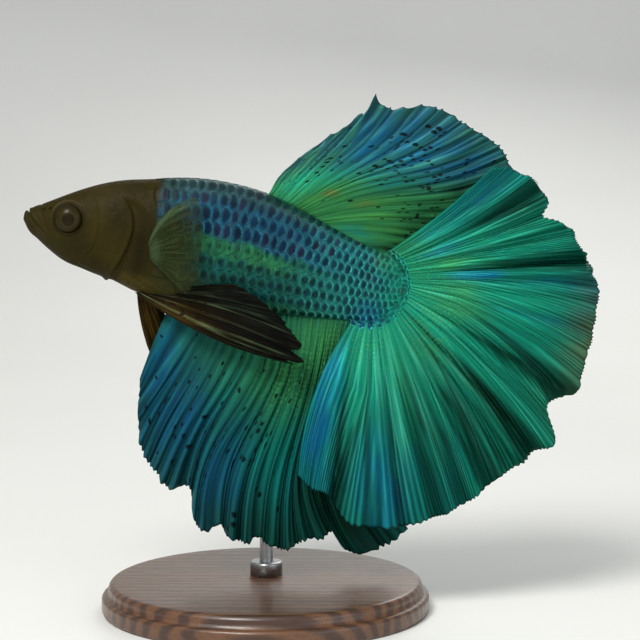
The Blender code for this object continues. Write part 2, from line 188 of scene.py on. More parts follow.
head = {
    "mouth": ((0.2, 1.05), (0.62, 0.42), (1.3, -0.3), (2.3, -1.15), (3.3, -1.9), (4.0, -2.45)),
    "upperLip": ((1.85, 2.3), (2.05, 1.6), (2.5, 0.6), (3.2, -0.6), (4.0, -1.8)),
    "nostrils": ((2.75, 1.2, 0.16), (3.55, 1.45, 0.2)),
    "pores": (
        (3.6, -0.7), (4.6, -2.3), (6.4, -2.9), (8.4, -2.1), (9.3, -0.2), (9.1, 2.0), (7.6, 3.7), (5.0, 3.2),
    ),
    "preopercle": ((9.3, 3.75), (10.2, 1.6), (10.5, -0.7), (10.0, -2.9), (8.6, -4.2)),
    "cheekLine": ((7.4, -2.1), (8.7, -1.2), (10.1, -0.6)),
    "opercle": (
        (4.9, 12.7), (3.6, 14.0), (2.0, 14.7), (0.0, 14.8), (-2.6, 14.25), (-4.3, 13.6), (-6.4, 12.4),
    ),
    "throatFolds": (
        ((7.0, -4.75), (9.6, -5.2), (12.0, -5.9)), ((5.2, -4.35), (8.4, -5.1), (11.6, -6.1)),
    ),
    "corner": (12.2, -6.55),
    "neckLine": ((-7, 24.3), (-5.6, 23.2), (-4.2, 20.8), (-3, 18.6), (0, 18.1), (8, 17.2)),  # height, place
    "washes": (  # paint, place, spread and strength
        ("headShade", 6.9, -0.5, 2.5, 2.2, 0.55), ("headShade", 8.3, -2.8, 1.9, 1.3, 0.5),
        ("headGreen", 5.2, -2.3, 0.9, 1.3, 0.6), ("mauveBrown", 2.9, -2.1, 0.9, 0.8, 0.5),
        ("mauveBrown", 7.1, 2.5, 0.9, 0.5, 0.6), ("mauveBrown", 9.5, 5.4, 3.2, 0.8, 0.5),
        ("cheekBrown", 10.3, 1.0, 1.0, 3.0, 0.6), ("headShade", 12.8, 2.4, 1.5, 2.4, 0.7),
        ("cheekBrown", 13.0, -3.0, 1.3, 1.6, 0.5), ("headShade", 10.6, -4.3, 1.2, 0.8, 0.5),
        # the oliveBlack patch behind the gill cover's edge is painted shadow, where the raised cover shades
        # the shoulder
        ("oliveBlack", 16.3, -1.5, 1.3, 5.0, 0.9), ("headShade", 14.5, 6.5, 1.6, 1.2, 0.4),
        ("filmOlive", 20.5, -6.0, 2.6, 2.0, 0.8),
    ),
}


def eyeRing(x, z):  # distance from the eye, the way round it in degrees, and 1 along the brow
    gap = np.hypot(x - eye["x"], z - eye["z"])
    turn = np.degrees(np.arctan2(z - eye["z"], x - eye["x"]))
    return gap, turn, window(turn, 50, 75, 150, 175)


def headRelief(x, z, y):  # how far the skin stands out, in millimetres
    gap, share = lineGap(head["mouth"], x, z)
    lip = 1 - ease(share, 0.75, 1.0)
    out = 0.09 * hump(gap, 0.32, 0.17) * lip
    out -= (0.2 + 0.34 * (1 - ease(share, 0.05, 0.3))) * hump(gap, 0, 0.13) * lip
    gap, share = lineGap(head["upperLip"], x, z)
    out -= (0.1 + 0.2 * (1 - ease(share, 0.0, 0.2))) * hump(gap, 0, 0.13) * (1 - ease(share, 0.85, 1.0))
    for px, pz, radius in head["nostrils"]:
        gap = np.hypot(x - px, z - pz)
        out += 0.12 * hump(gap, radius * 1.5, radius * 0.7) - 0.28 * hump(gap, 0, radius * 0.8)
    for px, pz in head["pores"]:
        out -= 0.07 * hump(np.hypot(x - px, z - pz), 0, 0.1)
    gap, turn, brow = eyeRing(x, z)
    out -= 1.0 * (1 - ease(gap, 1.5, 1.9))  # the socket
    out += 0.08 * hump(gap, 2.02, 0.14) - 0.08 * hump(gap, 2.2, 0.1) + 0.17 * brow * hump(gap, 2.42, 0.16)
    out += 0.03 * hump(gap, 2.9, 0.35) * np.sin(np.radians(turn * 9)) * (1 - brow)
    gap, share = lineGap(head["preopercle"], x, z)
    out += (0.05 * hump(gap, 0.28, 0.2) - 0.1 * hump(gap, 0, 0.13)) * window(share, 0, 0.15, 0.8, 1)
    gap, share = lineGap(head["cheekLine"], x, z)
    out -= 0.05 * hump(gap, 0, 0.14) * (1 - ease(share, 0.7, 1))
    past = pastOpercle(x, z)
    tall = window(z, -6.9, -5.6, 3.8, 5.2)
    out += tall * (0.07 * hump(past, -0.28, 0.2) - 0.05 * hump(past, -0.75, 0.25))
    out -= tall * 0.42 * window(past, -0.06, 0.16, 0.5, 2.6)
    for fold in head["throatFolds"]:
        gap, share = lineGap(fold, x, z)
        out += (0.04 * hump(gap, 0.2, 0.14) - 0.08 * hump(gap, 0, 0.11)) * np.sin(math.pi * share) ** 0.5
    out += 0.3 * hump(np.hypot(x - head["corner"][0], z - head["corner"][1]), 0, 0.5)
    out -= 0.12 * hump(y, 0, 0.12) * ease(-z, 2.2, 3.2) * window(x, 1.6, 3, 8, 11)  # chin groove
    return out * (1 - ease(x, 16.5, 18.0))


def pastOpercle(x, z):  # how far behind the edge of the gill cover
    return x - smooth(sorted(head["opercle"]), z)[..., 0]


def neckShare(x, z):  # 0 on the head, 1 where the coloured scales start
    line = np.interp(z, *zip(*head["neckLine"]))
    return ease(x - line + 0.35 * wander(3, z * 0.35, x * 0.2), -0.5, 0.7)


def headPaint(x, z):
    colour = np.broadcast_to(paints["headBrown"], (*np.shape(x), 3))
    for name, *patch in head["washes"]:
        colour = wash(colour, name, softSpot(x, z, *patch))
    gap, brow = eyeRing(x, z)[::2]
    colour = wash(colour, "oliveBlack", 0.7 * hump(gap, 1.95, 0.22))
    colour = wash(colour, "browPale", 0.5 * brow * hump(gap, 2.44, 0.09))
    breast = ease(x, 13.4, 14.8) * ease(-z, 4.2, 5.8) * (1 - 0.7 * ease(x, 17, 20))
    mottled = 0.65 + 0.35 * wander(8, x * 0.5, z * 0.6)
    return wash(colour, "breast", 0.85 * breast * mottled)


def coatPaint(x, z):  # middle and rim colours of a scale, then its dark spot, pale crescent and dot
    back, belly = np.moveaxis(smooth(fish["rows"], np.clip(x, 0, 48))[..., :2], -1, 0)
    drop = (back - z) / (back - belly)  # 0 on the back, 1 on the belly
    rear = ease(x, 34, 46)
    bandTop = 0.42 + 0.05 * ease(x, 22, 34) + 0.035 * wander(12, x * 0.25, z * 0.3)
    lower = ease(drop, bandTop - 0.03, bandTop + 0.03)
    bandEnd = bandTop + 0.14 + 0.05 * wander(14, x * 0.3, z * 0.5)
    band = lower * (1 - ease(drop, bandEnd - 0.07, bandEnd + 0.07)) * (1 - 0.85 * ease(x, 33, 40))
    top = 1 - ease(drop, 0.05, 0.2)
    sea = lower * (1 - band) * ease(wander(16, x * 0.22, z * 0.3), -0.2, 0.7)
    hem = lower * ease(drop, 0.84, 0.97) * ease(x, 20, 30)
    # painted shadow: a dark strip along the foot of the dorsal fin
    finFootShadow = window(x, 30.5, 32, 47, 49) * (1 - ease(drop, 0.03, 0.09))
    pit = ease(-z, 2.2, 4.2) * (1 - ease(x, 23.5, 27.5))
    firstRows = (1 - ease(x, 18.5, 21.5)) * ease(z, -3, 0)
    under = ease(x, 44, 47.5) * ease(drop, 0.62, 0.85)
    over = ease(x, 45.5, 48) * (1 - ease(drop, 0.12, 0.4))
    tailRoot = ease(x, 47.2, 51)
    tubs = {**paints, "lowRim": blend(paints["tealRim"], paints["bandGreen"], 0.6 * (1 - rear))}
    middle, rim = (
        wash(np.broadcast_to(paints[base], (*np.shape(x), 3)), name, 0.3 * ease(drift, 0.1, 0.8))
        for base, name, drift in (
            ("navy", "blue", wander(13, x * 0.3, z * 0.3)),
            ("steel", "skyBlue", wander(15, x * 0.3, z * 0.3)),
        )
    )
    for area, name, strength, rimName, rimStrength in (
        (top, "backGrey", 0.75, "backRim", 0.7 * (1 - rear)),
        (lower, "teal", 0.9, "lowRim", 0.9),
        (band, "bandGreen", 0.8, "leaf", 0.6),
        (sea, "tealBlue", 0.3, "tealRim", 0.0),
        (hem, "pine", 0.4, "leaf", 0.55),
        (rear, "tealDeep", 0.7, "cyanRim", 0.75),
        (finFootShadow, "pine", 0.8, "pine", 0.5),
        (pit, "filmOlive", 0.85, "filmOlive", 0.85),
        (firstRows, "backGrey", 0.5, "backGrey", 0.5),
        (under, "blue", 0.6, "skyBlue", 0.5),
        (over, "green", 0.5, "leafPale", 0.5),
        (tailRoot, "seaGreen", 0.85, "mint", 0.9),
    ):
        middle = blend(middle, tubs[name], strength * area)
        rim = blend(rim, tubs[rimName], rimStrength * area)
    neck = neckShare(x, z)
    own = headPaint(x, z)
    middle, rim = (own + (colour - own) * neck[..., None] for colour in (middle, rim))
    dark = np.clip(1.0 - 0.35 * lower * (1 - rear) - 0.3 * band, 0.15, 1) * (0.1 + 0.9 * neck)
    dot = lower * (1 - 0.6 * band) * (1 - ease(x, 38, 46)) * neck
    return middle, rim, np.stack([dark, ease(x, 30, 44) * neck, dot], -1)


# Meshes

def newPiece(name, points, faces, material, faceUvs=None, uvName="flatMap", **attributes):
    mesh = bpy.data.meshes.new(name)
    mesh.from_pydata(points.reshape(-1, 3).tolist(), [], faces)
    if faceUvs is not None:
        mesh.uv_layers.new(name=uvName).data.foreach_set("uv", np.asarray(faceUvs, np.float32).ravel())
    for key, values in attributes.items():
        addAttribute(mesh, key, values)
    mesh.shade_smooth()
    mesh.materials.append(material)
    piece = bpy.data.objects.new(name, mesh)
    bpy.context.scene.collection.objects.link(piece)
    return piece


def addAttribute(mesh, key, values):  # one number, a colour or a vector for every point
    values = np.asarray(values, np.float32)
    count = len(mesh.vertices)
    if values.size == count:
        kind, field = "FLOAT", "value"
    elif key.endswith("Paint"):
        kind, field = "FLOAT_COLOR", "color"
        values = np.column_stack([values.reshape(count, 3), np.ones(count, np.float32)])
    else:
        kind, field = "FLOAT_VECTOR", "vector"
    mesh.attributes.new(key, kind, "POINT").data.foreach_set(field, values.ravel())


def gridNormals(points):  # normals of a grid of points, rows x columns
    normals = np.cross(np.gradient(points, axis=0), np.gradient(points, axis=1))
    return normals / np.maximum(np.linalg.norm(normals, axis=-1, keepdims=True), 1e-9)


def corners(grid, flip=False):  # the four corners of every square of a grid
    a, b, c, d = grid[:-1, :-1], grid[1:, :-1], grid[1:, 1:], grid[:-1, 1:]
    squares = np.stack([a, d, c, b] if flip else [a, b, c, d], 2)
    return squares.reshape(-1, 4) if grid.ndim == 2 else squares.reshape(-1, grid.shape[-1])


def ringGrid(points, front, rear):  # closes rings round a body with a point at each end
    rings, sides = points.shape[:2]
    index = np.arange(rings * sides).reshape(rings, sides)
    loop = np.column_stack([index, index[:, 0]])
    tip = rings * sides
    faces = corners(loop, True).tolist()
    faces += [[tip, after, here] for here, after in zip(loop[0], loop[0, 1:])]
    faces += [[tip + 1, here, after] for here, after in zip(loop[-1], loop[-1, 1:])]
    return np.concatenate([points.reshape(-1, 3), [front], [rear]]), faces


def ringMap(u, v):  # the same faces laid flat: u along the rings, v round them, once more at the seam
    flat = corners(np.stack(np.broadcast_arrays(u[:, None], v[None, :]), -1), True)
    caps = [((0, low), (u[0], high), (u[0], low)) for low, high in zip(v, v[1:])]
    caps += [((1, low), (u[-1], low), (u[-1], high)) for low, high in zip(v, v[1:])]
    return np.concatenate([flat, np.reshape(caps, (-1, 2))])


# Shader building

def feed(tree, value, socket):
    if isinstance(value, bpy.types.NodeSocket):
        tree.links.new(value, socket)
    elif isinstance(value, (tuple, list, np.ndarray)) and len(value) == 3 and socket.type == "RGBA":
        socket.default_value = (*[float(part) for part in value], 1.0)
    else:
        socket.default_value = value


def plug(tree, node, values):
    for key, value in values.items():
        feed(tree, value, node.inputs[key])


def newFinish(name, fixed):  # a material with its shader's constant values
    material = bpy.data.materials.new(name)
    material.use_nodes = True
    shader = material.node_tree.nodes["Principled BSDF"]
    plug(material.node_tree, shader, fixed)
    return material, material.node_tree, shader


def calc(tree, operation, *values, kind="ShaderNodeMath"):
    node = tree.nodes.new(kind)
    node.operation = operation
    for socket, value in zip(node.inputs, values):
        feed(tree, value, socket)
    return node.outputs[1] if operation == "LENGTH" else node.outputs[0]


def vectorCalc(tree, operation, *values):
    return calc(tree, operation, *values, kind="ShaderNodeVectorMath")


def plus(tree, total, *others):
    for other in others:
        total = calc(tree, "ADD", total, other)
    return total


def times(tree, total, *others):
    for other in others:
        total = calc(tree, "MULTIPLY", total, other)
    return total


def minus(tree, value, other):
    return calc(tree, "SUBTRACT", value, other)


def stretched(tree, vector, scale):
    return vectorCalc(tree, "MULTIPLY", vector, scale)


def scaled(tree, vector, factor):
    node = tree.nodes.new("ShaderNodeVectorMath")
    node.operation = "SCALE"
    plug(tree, node, {0: vector, "Scale": factor})
    return node.outputs[0]


def parts(tree, vector):
    node = tree.nodes.new("ShaderNodeSeparateXYZ")
    feed(tree, vector, node.inputs[0])
    return node.outputs


def joined(tree, *values):
    node = tree.nodes.new("ShaderNodeCombineXYZ")
    for socket, value in zip(node.inputs, values):
        feed(tree, value, socket)
    return node.outputs[0]


def span(tree, value, low, high, toLow=0.0, toHigh=1.0):  # smooth step from one range to another
    node = tree.nodes.new("ShaderNodeMapRange")
    node.interpolation_type = "SMOOTHSTEP"
    for socket, part in zip(node.inputs, (value, low, high, toLow, toHigh)):
        feed(tree, part, socket)
    return node.outputs[0]


def fade(tree, value, low, high):  # 1 before low, 0 after high
    return span(tree, value, low, high, 1.0, 0.0)


def spread(tree, value, toLow, toHigh):  # a share from 0 to 1 to another range
    return span(tree, value, 0.0, 1.0, toLow, toHigh)


def tint(tree, mask, base, colour, kind="MIX"):
    node = tree.nodes.new("ShaderNodeMix")
    node.data_type = "RGBA"
    node.blend_type = kind
    plug(tree, node, {0: mask, 6: base, 7: colour})
    return node.outputs[2]


def filtered(tree, mask, base, filterColour):  # darkens or warms a colour where the mask is
    return tint(tree, mask, base, tint(tree, 1.0, base, filterColour, "MULTIPLY"))


def noise(tree, vector, scale, detail=2.0, rough=0.5, twist=0.0):
    node = tree.nodes.new("ShaderNodeTexNoise")
    plug(tree, node, {"Vector": vector, "Scale": scale, "Detail": detail})
    plug(tree, node, {"Roughness": rough, "Distortion": twist})
    return node.outputs[0]


def cells(tree, vector, loose, kind="3D"):
    node = tree.nodes.new("ShaderNodeTexVoronoi")
    node.voronoi_dimensions = kind
    plug(tree, node, {"Vector": vector, "Scale": 1.0, "Randomness": loose})
    return node.outputs[0], node.outputs[1]


def place(tree):  # the piece's own place, in millimetres
    coords = tree.nodes.new("ShaderNodeTexCoord")
    return stretched(tree, coords.outputs["Object"], (1000.0, 1000.0, 1000.0))


def attribute(tree, key, kind="Color"):
    node = tree.nodes.new("ShaderNodeAttribute")
    node.attribute_name = key
    return node.outputs[kind]


def relief(tree, shader, height, distance):
    node = tree.nodes.new("ShaderNodeBump")
    plug(tree, node, {"Height": height, "Distance": distance * mm, "Strength": 1.0})
    tree.links.new(node.outputs[0], shader.inputs["Normal"])


def newGroup(name, ins, outs):  # inputs are numbers with these values, or vectors where None is given
    group = bpy.data.node_groups.new(name, "ShaderNodeTree")
    for key, value in ins.items():
        kind = "NodeSocketVector" if value is None else "NodeSocketFloat"
        socket = group.interface.new_socket(name=key, in_out="INPUT", socket_type=kind)
        if value is not None:
            socket.default_value = value
    for key in outs:
        group.interface.new_socket(name=key, in_out="OUTPUT", socket_type="NodeSocketFloat")
    return group, group.nodes.new("NodeGroupInput").outputs, group.nodes.new("NodeGroupOutput").inputs


def useGroup(tree, group, values):
    node = tree.nodes.new("ShaderNodeGroup")
    node.node_tree = group
    plug(tree, node, values)
    return node.outputs


def buildMottle():  # uneven skin colour, in patches and in grains
    inputs = {"Place": None, "Patch": 0.35, "Grain": 5.0}
    group, given, out = newGroup("mottle", inputs, ("Patches", "Grains"))
    patches = noise(group, given["Place"], given["Patch"], 3.0, 0.55)
    grains = noise(group, given["Place"], given["Grain"], 2.0, 0.6)
    feed(group, span(group, patches, 0.35, 0.65), out["Patches"])
    feed(group, span(group, grains, 0.3, 0.7), out["Grains"])
    return group


forking = {"reach": (0.25, 0.125), "run": 0.3}  # how far a fork's rays part, and over what share of the fin


def buildRayPattern():  # rays that fork towards the rim, from a map with shares across and along the fin
    inputs = {"Map": None, "Rays": 14.0, "First Fork": 0.15, "Second Fork": 0.4}
    group, given, out = newGroup("rayPattern", inputs, ("Line", "Ridge", "Pick"))
    u, v = parts(group, given["Map"])[:2]
    turn = times(group, u, given["Rays"])
    away = calc(group, "ABSOLUTE", minus(group, calc(group, "FRACT", turn), 0.5))
    crowd = 2.0
    for fork, reach in zip(("First Fork", "Second Fork"), forking["reach"]):
        apart = span(group, v, given[fork], plus(group, given[fork], forking["run"]))
        away = calc(group, "ABSOLUTE", minus(group, away, times(group, apart, reach)))
        crowd = times(group, crowd, plus(group, apart, 1.0))
    real = times(group, away, crowd)
    dice = group.nodes.new("ShaderNodeTexWhiteNoise")
    dice.noise_dimensions = "1D"
    feed(group, calc(group, "FLOOR", times(group, turn, 2.0)), dice.inputs["W"])
    feed(group, fade(group, real, 0.0, 0.55), out["Line"])
    feed(group, fade(group, real, 0.1, 0.95), out["Ridge"])
    feed(group, span(group, dice.outputs["Value"], 0.35, 0.95), out["Pick"])
    return group


def buildStreaks():  # fibres that run along a fin's rays
    inputs = {"Map": None, "Across": 120.0, "Along": 2.5, "Shift": 0.0}
    group, given, out = newGroup("streaks", inputs, ("Broad", "Fine"))
    for key, finer in (("Broad", 1.0), ("Fine", 3.4)):
        size = joined(group, times(group, given["Across"], finer), times(group, given["Along"], finer * 0.8))
        lift = joined(group, 0.0, 0.0, plus(group, given["Shift"], finer))
        where = vectorCalc(group, "ADD", stretched(group, given["Map"], size), lift)
        feed(group, span(group, noise(group, where, 1.0, 2.0, 0.55, 0.2), 0.3, 0.7), out[key])
    return group


mottle = buildMottle()
rayPattern = buildRayPattern()
streaks = buildStreaks()
print("shared patterns ready")


# Skin: one closed shell for head, jaw, gill covers, trunk and tail stalk

skinShape = {
    "headRings": 270,
    "trunkRings": 120,
    "sides": 220,
    "headEnd": 17.5,
    "tips": (0.03, 0.05),  # gaps between the end rings and the ends of the body
    "crowding": 0.18,  # share by which the head's rings crowd towards the snout
    "scaleRoom": 0.12,
    "headInset": 0.05,
}


def skinInset(x):
    return -(skinShape["headInset"] + (skinShape["scaleRoom"] - skinShape["headInset"]) * ease(x, 13.0, 15.5))


def skinFinish():
    material, tree, shader = newFinish("fishSkin", {"Specular IOR Level": 0.07})
    where = place(tree)
    spots = useGroup(tree, mottle, {"Place": where, "Patch": 0.45, "Grain": 5.5})
    colour = attribute(tree, "skinPaint")
    colour = filtered(tree, times(tree, spots["Patches"], 0.35), colour, (1.25, 1.08, 0.9))
    colour = filtered(tree, times(tree, spots["Grains"], 0.3), colour, (0.62, 0.66, 0.6))
    headScales = cells(tree, stretched(tree, where, (0.8, 0.8, 0.62)), 0.75)[0]
    height = times(tree, fade(tree, headScales, 0.25, 0.6), attribute(tree, "cheekScales", "Fac"))
    relief(tree, shader, plus(tree, height, times(tree, spots["Grains"], 0.22)), 0.05)
    plug(tree, shader, {"Base Color": colour, "Roughness": spread(tree, spots["Grains"], 0.46, 0.6)})
    return material


def makeSkin():
    shape = skinShape
    cut, sides, (frontGap, rearGap) = shape["headEnd"], shape["sides"], shape["tips"]
    lead = np.linspace(0, 1, shape["headRings"])
    lead = (1 - shape["crowding"]) * lead + shape["crowding"] * lead**2
    rear = np.linspace(cut, fish["length"] - rearGap, shape["trunkRings"] + 1)[1:]
    stations = np.concatenate([frontGap + (cut - frontGap) * lead, rear])
    angles = np.linspace(0, fullTurn, sides + 1)
    x = np.repeat(stations[:, None], sides, axis=1)
    points = bodyPoints(x, angles[None, :-1], skinInset(x))
    normals = -gridNormals(np.concatenate([points[:, -1:], points, points[:, :1]], axis=1))[:, 1:-1]
    points = points + normals * headRelief(points[..., 0], points[..., 2], points[..., 1])[..., None]
    px, pz = points[..., 0], points[..., 2]
    neck = neckShare(px, pz)
    middle, rim = coatPaint(px, pz)[:2]
    colour = blend(headPaint(px, pz), middle * 0.7 + rim * 0.15, neck)
    ends = np.stack([colour[0].mean(0), colour[-1].mean(0)])
    cheek = (ease(px, 6, 9) + ease(pz, 2.5, 4.0) * ease(px, 5, 8)) * (1 - neck)
    every, faces = ringGrid(points, np.array([-0.05, 0, -0.25]), np.array([fish["length"], 0, -0.3]))
    piece = newPiece(
        "fishSkin", toFrame(every), faces, skinFinish(),
        ringMap(stations / fish["unwrap"], angles / fullTurn),
        skinPaint=np.concatenate([colour.reshape(-1, 3), ends]),
        cheekScales=np.concatenate([np.clip(cheek, 0, 1).ravel(), [0, 0]]),
    )
    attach(piece, "root")
    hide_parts("head", "lower_jaw", "gill_cover_left", "gill_cover_right", "trunk", "tail_stalk")
    return piece


skin = makeSkin()
print("skin", len(skin.data.polygons))


# Fins: two thin sheets that meet at the rim, on rays that fork and fold

plainFin = {  # what a fin has unless it says otherwise
    "side": 0,  # -1 left, 1 right, 0 in the middle plane
    "notches": (),
    "gaps": (),
    "spikes": (),  # share, height, width, and lean in degrees
    "specks": (),
    "dots": (),
    "thick": (0.34, 0.12),  # at the root and at the rim
    "crowding": 0.92,  # below 1 crowds the columns towards the rim
    "rib": 0.09,  # how far the rays stand out
    "unevenRays": 0.28,  # in shares of one ray's room
    "waver": 0.12,  # slow swing of the whole sheet
    "sharpFold": 0.35,  # 0 gives round folds, 1 pinched ones
    "curl": 0.6,  # how much sooner than its rim the sheet leans
    "toothFade": 7,  # power by which the teeth fade inwards from the rim
    "steps": 24,  # straight parts that make up a ray
}
caudal = {
    **plainFin, "node": "caudal_fin", "grid": (600, 74),
    "rays": (  # share, angle at the root, bend, length, how far the tip leans to the right
        (0.0, 46, 10, 18.0, -4.6), (0.1, 36, 12, 21.0, -4.2), (0.2, 26, 6, 22.0, -3.6),
        (0.3, 16, 2, 24.3, -3.3), (0.4, 10, -2, 25.9, -3.0), (0.5, -5, -2, 25.7, -3.0),
        (0.6, -23, -3, 26.3, -3.1), (0.7, -41, -3, 26.3, -3.6), (0.8, -63, 0, 27.1, -3.9),
        (0.9, -86, 8, 27.0, -4.5), (1.0, -116, 34, 22.0, -5.2),
    ),
    "notches": (  # share, depth (less than 0 stands out), width
        (0.19, 1.8, 0.02), (0.24, -0.5, 0.012), (0.295, -0.6, 0.01), (0.36, 0.8, 0.02), (0.565, -0.8, 0.014),
        (0.6, 2.2, 0.02), (0.638, -1.5, 0.017), (0.95, 1.5, 0.02),
    ),
    "feet": ((0.0, 74), (0.1, 57), (0.3, 30), (0.6, -7), (0.7, -28), (0.8, -52), (0.9, -79), (1.0, -106)),
    "centre": (46.8, -0.4), "radii": (4.3, 4.7),
    "valleys": (  # share, fold depth, darkness of the shade painted into the valley
        (0.05, 0.5, 0.25), (0.13, 1.3, 0.75), (0.19, 0.6, 0.3), (0.235, 0.6, 0.4), (0.315, 1.7, 0.85),
        (0.39, 0.5, 0.2), (0.43, 0.4, 0.2), (0.475, 0.5, 0.3), (0.52, 0.4, 0.2), (0.575, 1.2, 0.75),
        (0.62, 0.6, 0.4), (0.667, 1.4, 0.9), (0.705, 0.6, 0.8), (0.74, 0.8, 1.0), (0.775, 0.7, 0.8),
        (0.81, 0.8, 1.0), (0.85, 0.7, 1.0), (0.885, 0.6, 0.7), (0.935, 1.4, 0.9), (0.975, 0.5, 0.3),
    ),
    "gaps": (  # between two lobes: share and distance out where it opens, its two sides at the rim, darkness of the shade painted into the gap
        (0.13, 0.36, 0.096, 0.158, 0.6), (0.28, 0.38, 0.266, 0.352, 0.5), (0.51, 0.3, 0.568, 0.6, 0.9),
        (0.64, 0.3, 0.655, 0.69, 0.8), (0.7, 0.3, 0.72, 0.745, 0.85), (0.755, 0.4, 0.764, 0.775, 0.7),
        (0.805, 0.3, 0.79, 0.807, 0.85), (0.85, 0.4, 0.844, 0.854, 0.7), (0.895, 0.35, 0.926, 0.946, 0.85),
    ),
    "fold": 0.8, "forks": (0.12, 0.4), "rayCount": 42, "gather": 0.07, "pleat": 0.09, "teeth": (0.34, 1.0),
    "washes": (  # paint, share across, share along, spread across, spread along, strength
        # the narrow pine and nightGreen washes on the folds and lobe gaps (0.09, 0.14, 0.305, 0.338, 0.577,
        # 0.655 to 0.89, 0.935) are painted shade
        ("mint", 0.5, 0.1, 1.0, 0.26, 0.75), ("pine", 0.75, 0.98, 0.25, 0.34, 0.4),
        ("pine", 0.2, 0.98, 0.3, 0.25, 0.2), ("green", 0.06, 0.12, 0.08, 0.16, 0.5),
        ("skyBlue", 0.07, 0.33, 0.04, 0.12, 0.35), ("finBlue", 0.045, 0.75, 0.05, 0.3, 0.55),
        ("mint", 0.11, 0.33, 0.05, 0.12, 0.35), ("pine", 0.14, 0.74, 0.026, 0.26, 0.7),
        ("mint", 0.44, 0.75, 0.08, 0.3, 0.3), ("mint", 0.62, 0.75, 0.03, 0.3, 0.25),
        ("mint", 0.8, 0.5, 0.1, 0.22, 0.25), ("pine", 0.09, 0.7, 0.03, 0.3, 0.4),
        ("skyBlue", 0.18, 0.27, 0.026, 0.13, 0.8), ("mint", 0.18, 0.5, 0.016, 0.1, 0.6),
        ("mint", 0.18, 0.1, 0.06, 0.1, 0.5), ("seaGreen", 0.22, 0.7, 0.04, 0.25, 0.4),
        ("leaf", 0.26, 0.28, 0.04, 0.12, 0.5), ("green", 0.3, 0.45, 0.035, 0.12, 0.5),
        ("nightGreen", 0.305, 0.7, 0.03, 0.2, 0.5), ("nightGreen", 0.338, 0.82, 0.016, 0.26, 0.3),
        ("pine", 0.74, 0.66, 0.1, 0.2, 0.35), ("seaGreen", 0.285, 0.9, 0.022, 0.16, 0.7),
        ("skyBlue", 0.355, 0.36, 0.034, 0.12, 0.9), ("finBlue", 0.355, 0.46, 0.02, 0.07, 0.8),
        ("mint", 0.34, 0.14, 0.06, 0.1, 0.6), ("finBlue", 0.385, 0.8, 0.025, 0.25, 0.4),
        ("leaf", 0.43, 0.3, 0.045, 0.1, 0.45), ("finBlue", 0.477, 0.72, 0.01, 0.2, 0.4),
        ("slate", 0.42, 1.02, 0.08, 0.14, 0.9), ("rimGrey", 0.5, 1.02, 0.08, 0.13, 0.85),
        ("leaf", 0.51, 0.3, 0.04, 0.14, 0.45), ("pine", 0.577, 0.7, 0.016, 0.3, 0.85),
        ("pine", 0.668, 0.66, 0.012, 0.36, 0.9), ("pine", 0.665, 0.2, 0.012, 0.2, 0.5),
        ("green", 0.71, 0.27, 0.04, 0.12, 0.45), ("green", 0.8, 0.36, 0.018, 0.12, 0.4),
        ("finTeal", 0.79, 0.85, 0.05, 0.25, 0.5), ("finBlue", 0.87, 0.8, 0.04, 0.28, 0.7),
        ("nightGreen", 0.935, 0.75, 0.012, 0.3, 0.85), ("finBlue", 0.975, 0.66, 0.028, 0.42, 0.9),
        ("skyBlue", 0.985, 0.34, 0.02, 0.16, 0.5), ("pine", 1.0, 0.08, 0.03, 0.14, 0.5),
        ("nightGreen", 0.655, 0.45, 0.008, 0.38, 0.6), ("nightGreen", 0.692, 0.45, 0.007, 0.4, 0.6),
        ("nightGreen", 0.726, 0.5, 0.008, 0.42, 0.6), ("nightGreen", 0.762, 0.6, 0.006, 0.35, 0.5),
        ("nightGreen", 0.788, 0.5, 0.008, 0.42, 0.6), ("nightGreen", 0.84, 0.55, 0.008, 0.4, 0.6),
        ("nightGreen", 0.89, 0.45, 0.007, 0.38, 0.5), ("paleMint", 0.674, 0.4, 0.006, 0.25, 0.5),
        ("paleMint", 0.709, 0.4, 0.006, 0.25, 0.5), ("paleMint", 0.775, 0.45, 0.006, 0.25, 0.5),
        ("paleMint", 0.825, 0.45, 0.006, 0.25, 0.5), ("paleMint", 0.482, 0.15, 0.008, 0.1, 0.75),
        ("paleMint", 0.585, 0.16, 0.009, 0.12, 0.75), ("paleMint", 0.7, 0.12, 0.006, 0.09, 0.5),
        ("paleMint", 0.742, 0.22, 0.006, 0.16, 0.8), ("paleMint", 0.81, 0.18, 0.008, 0.15, 0.8),
        ("paleMint", 0.862, 0.22, 0.006, 0.16, 0.8), ("paleMint", 0.913, 0.13, 0.006, 0.1, 0.4),
    ),
    "base": "seaGreen",
    "specks": ((0.3, 0.14, 0.32, 0.16, 0.9), (0.6, 0.2, 0.16, 0.16, 0.7), (0.88, 0.12, 0.1, 0.12, 0.6)),
    "look": {
        "Across": 120.0, "Along": 1.8, "lit": 0.3, "pale": "paleMint", "deep": "nightGreen", "rim": 0.5,
        "tone": (0.2, 0.14, 0.16, 0.5),
    },
}
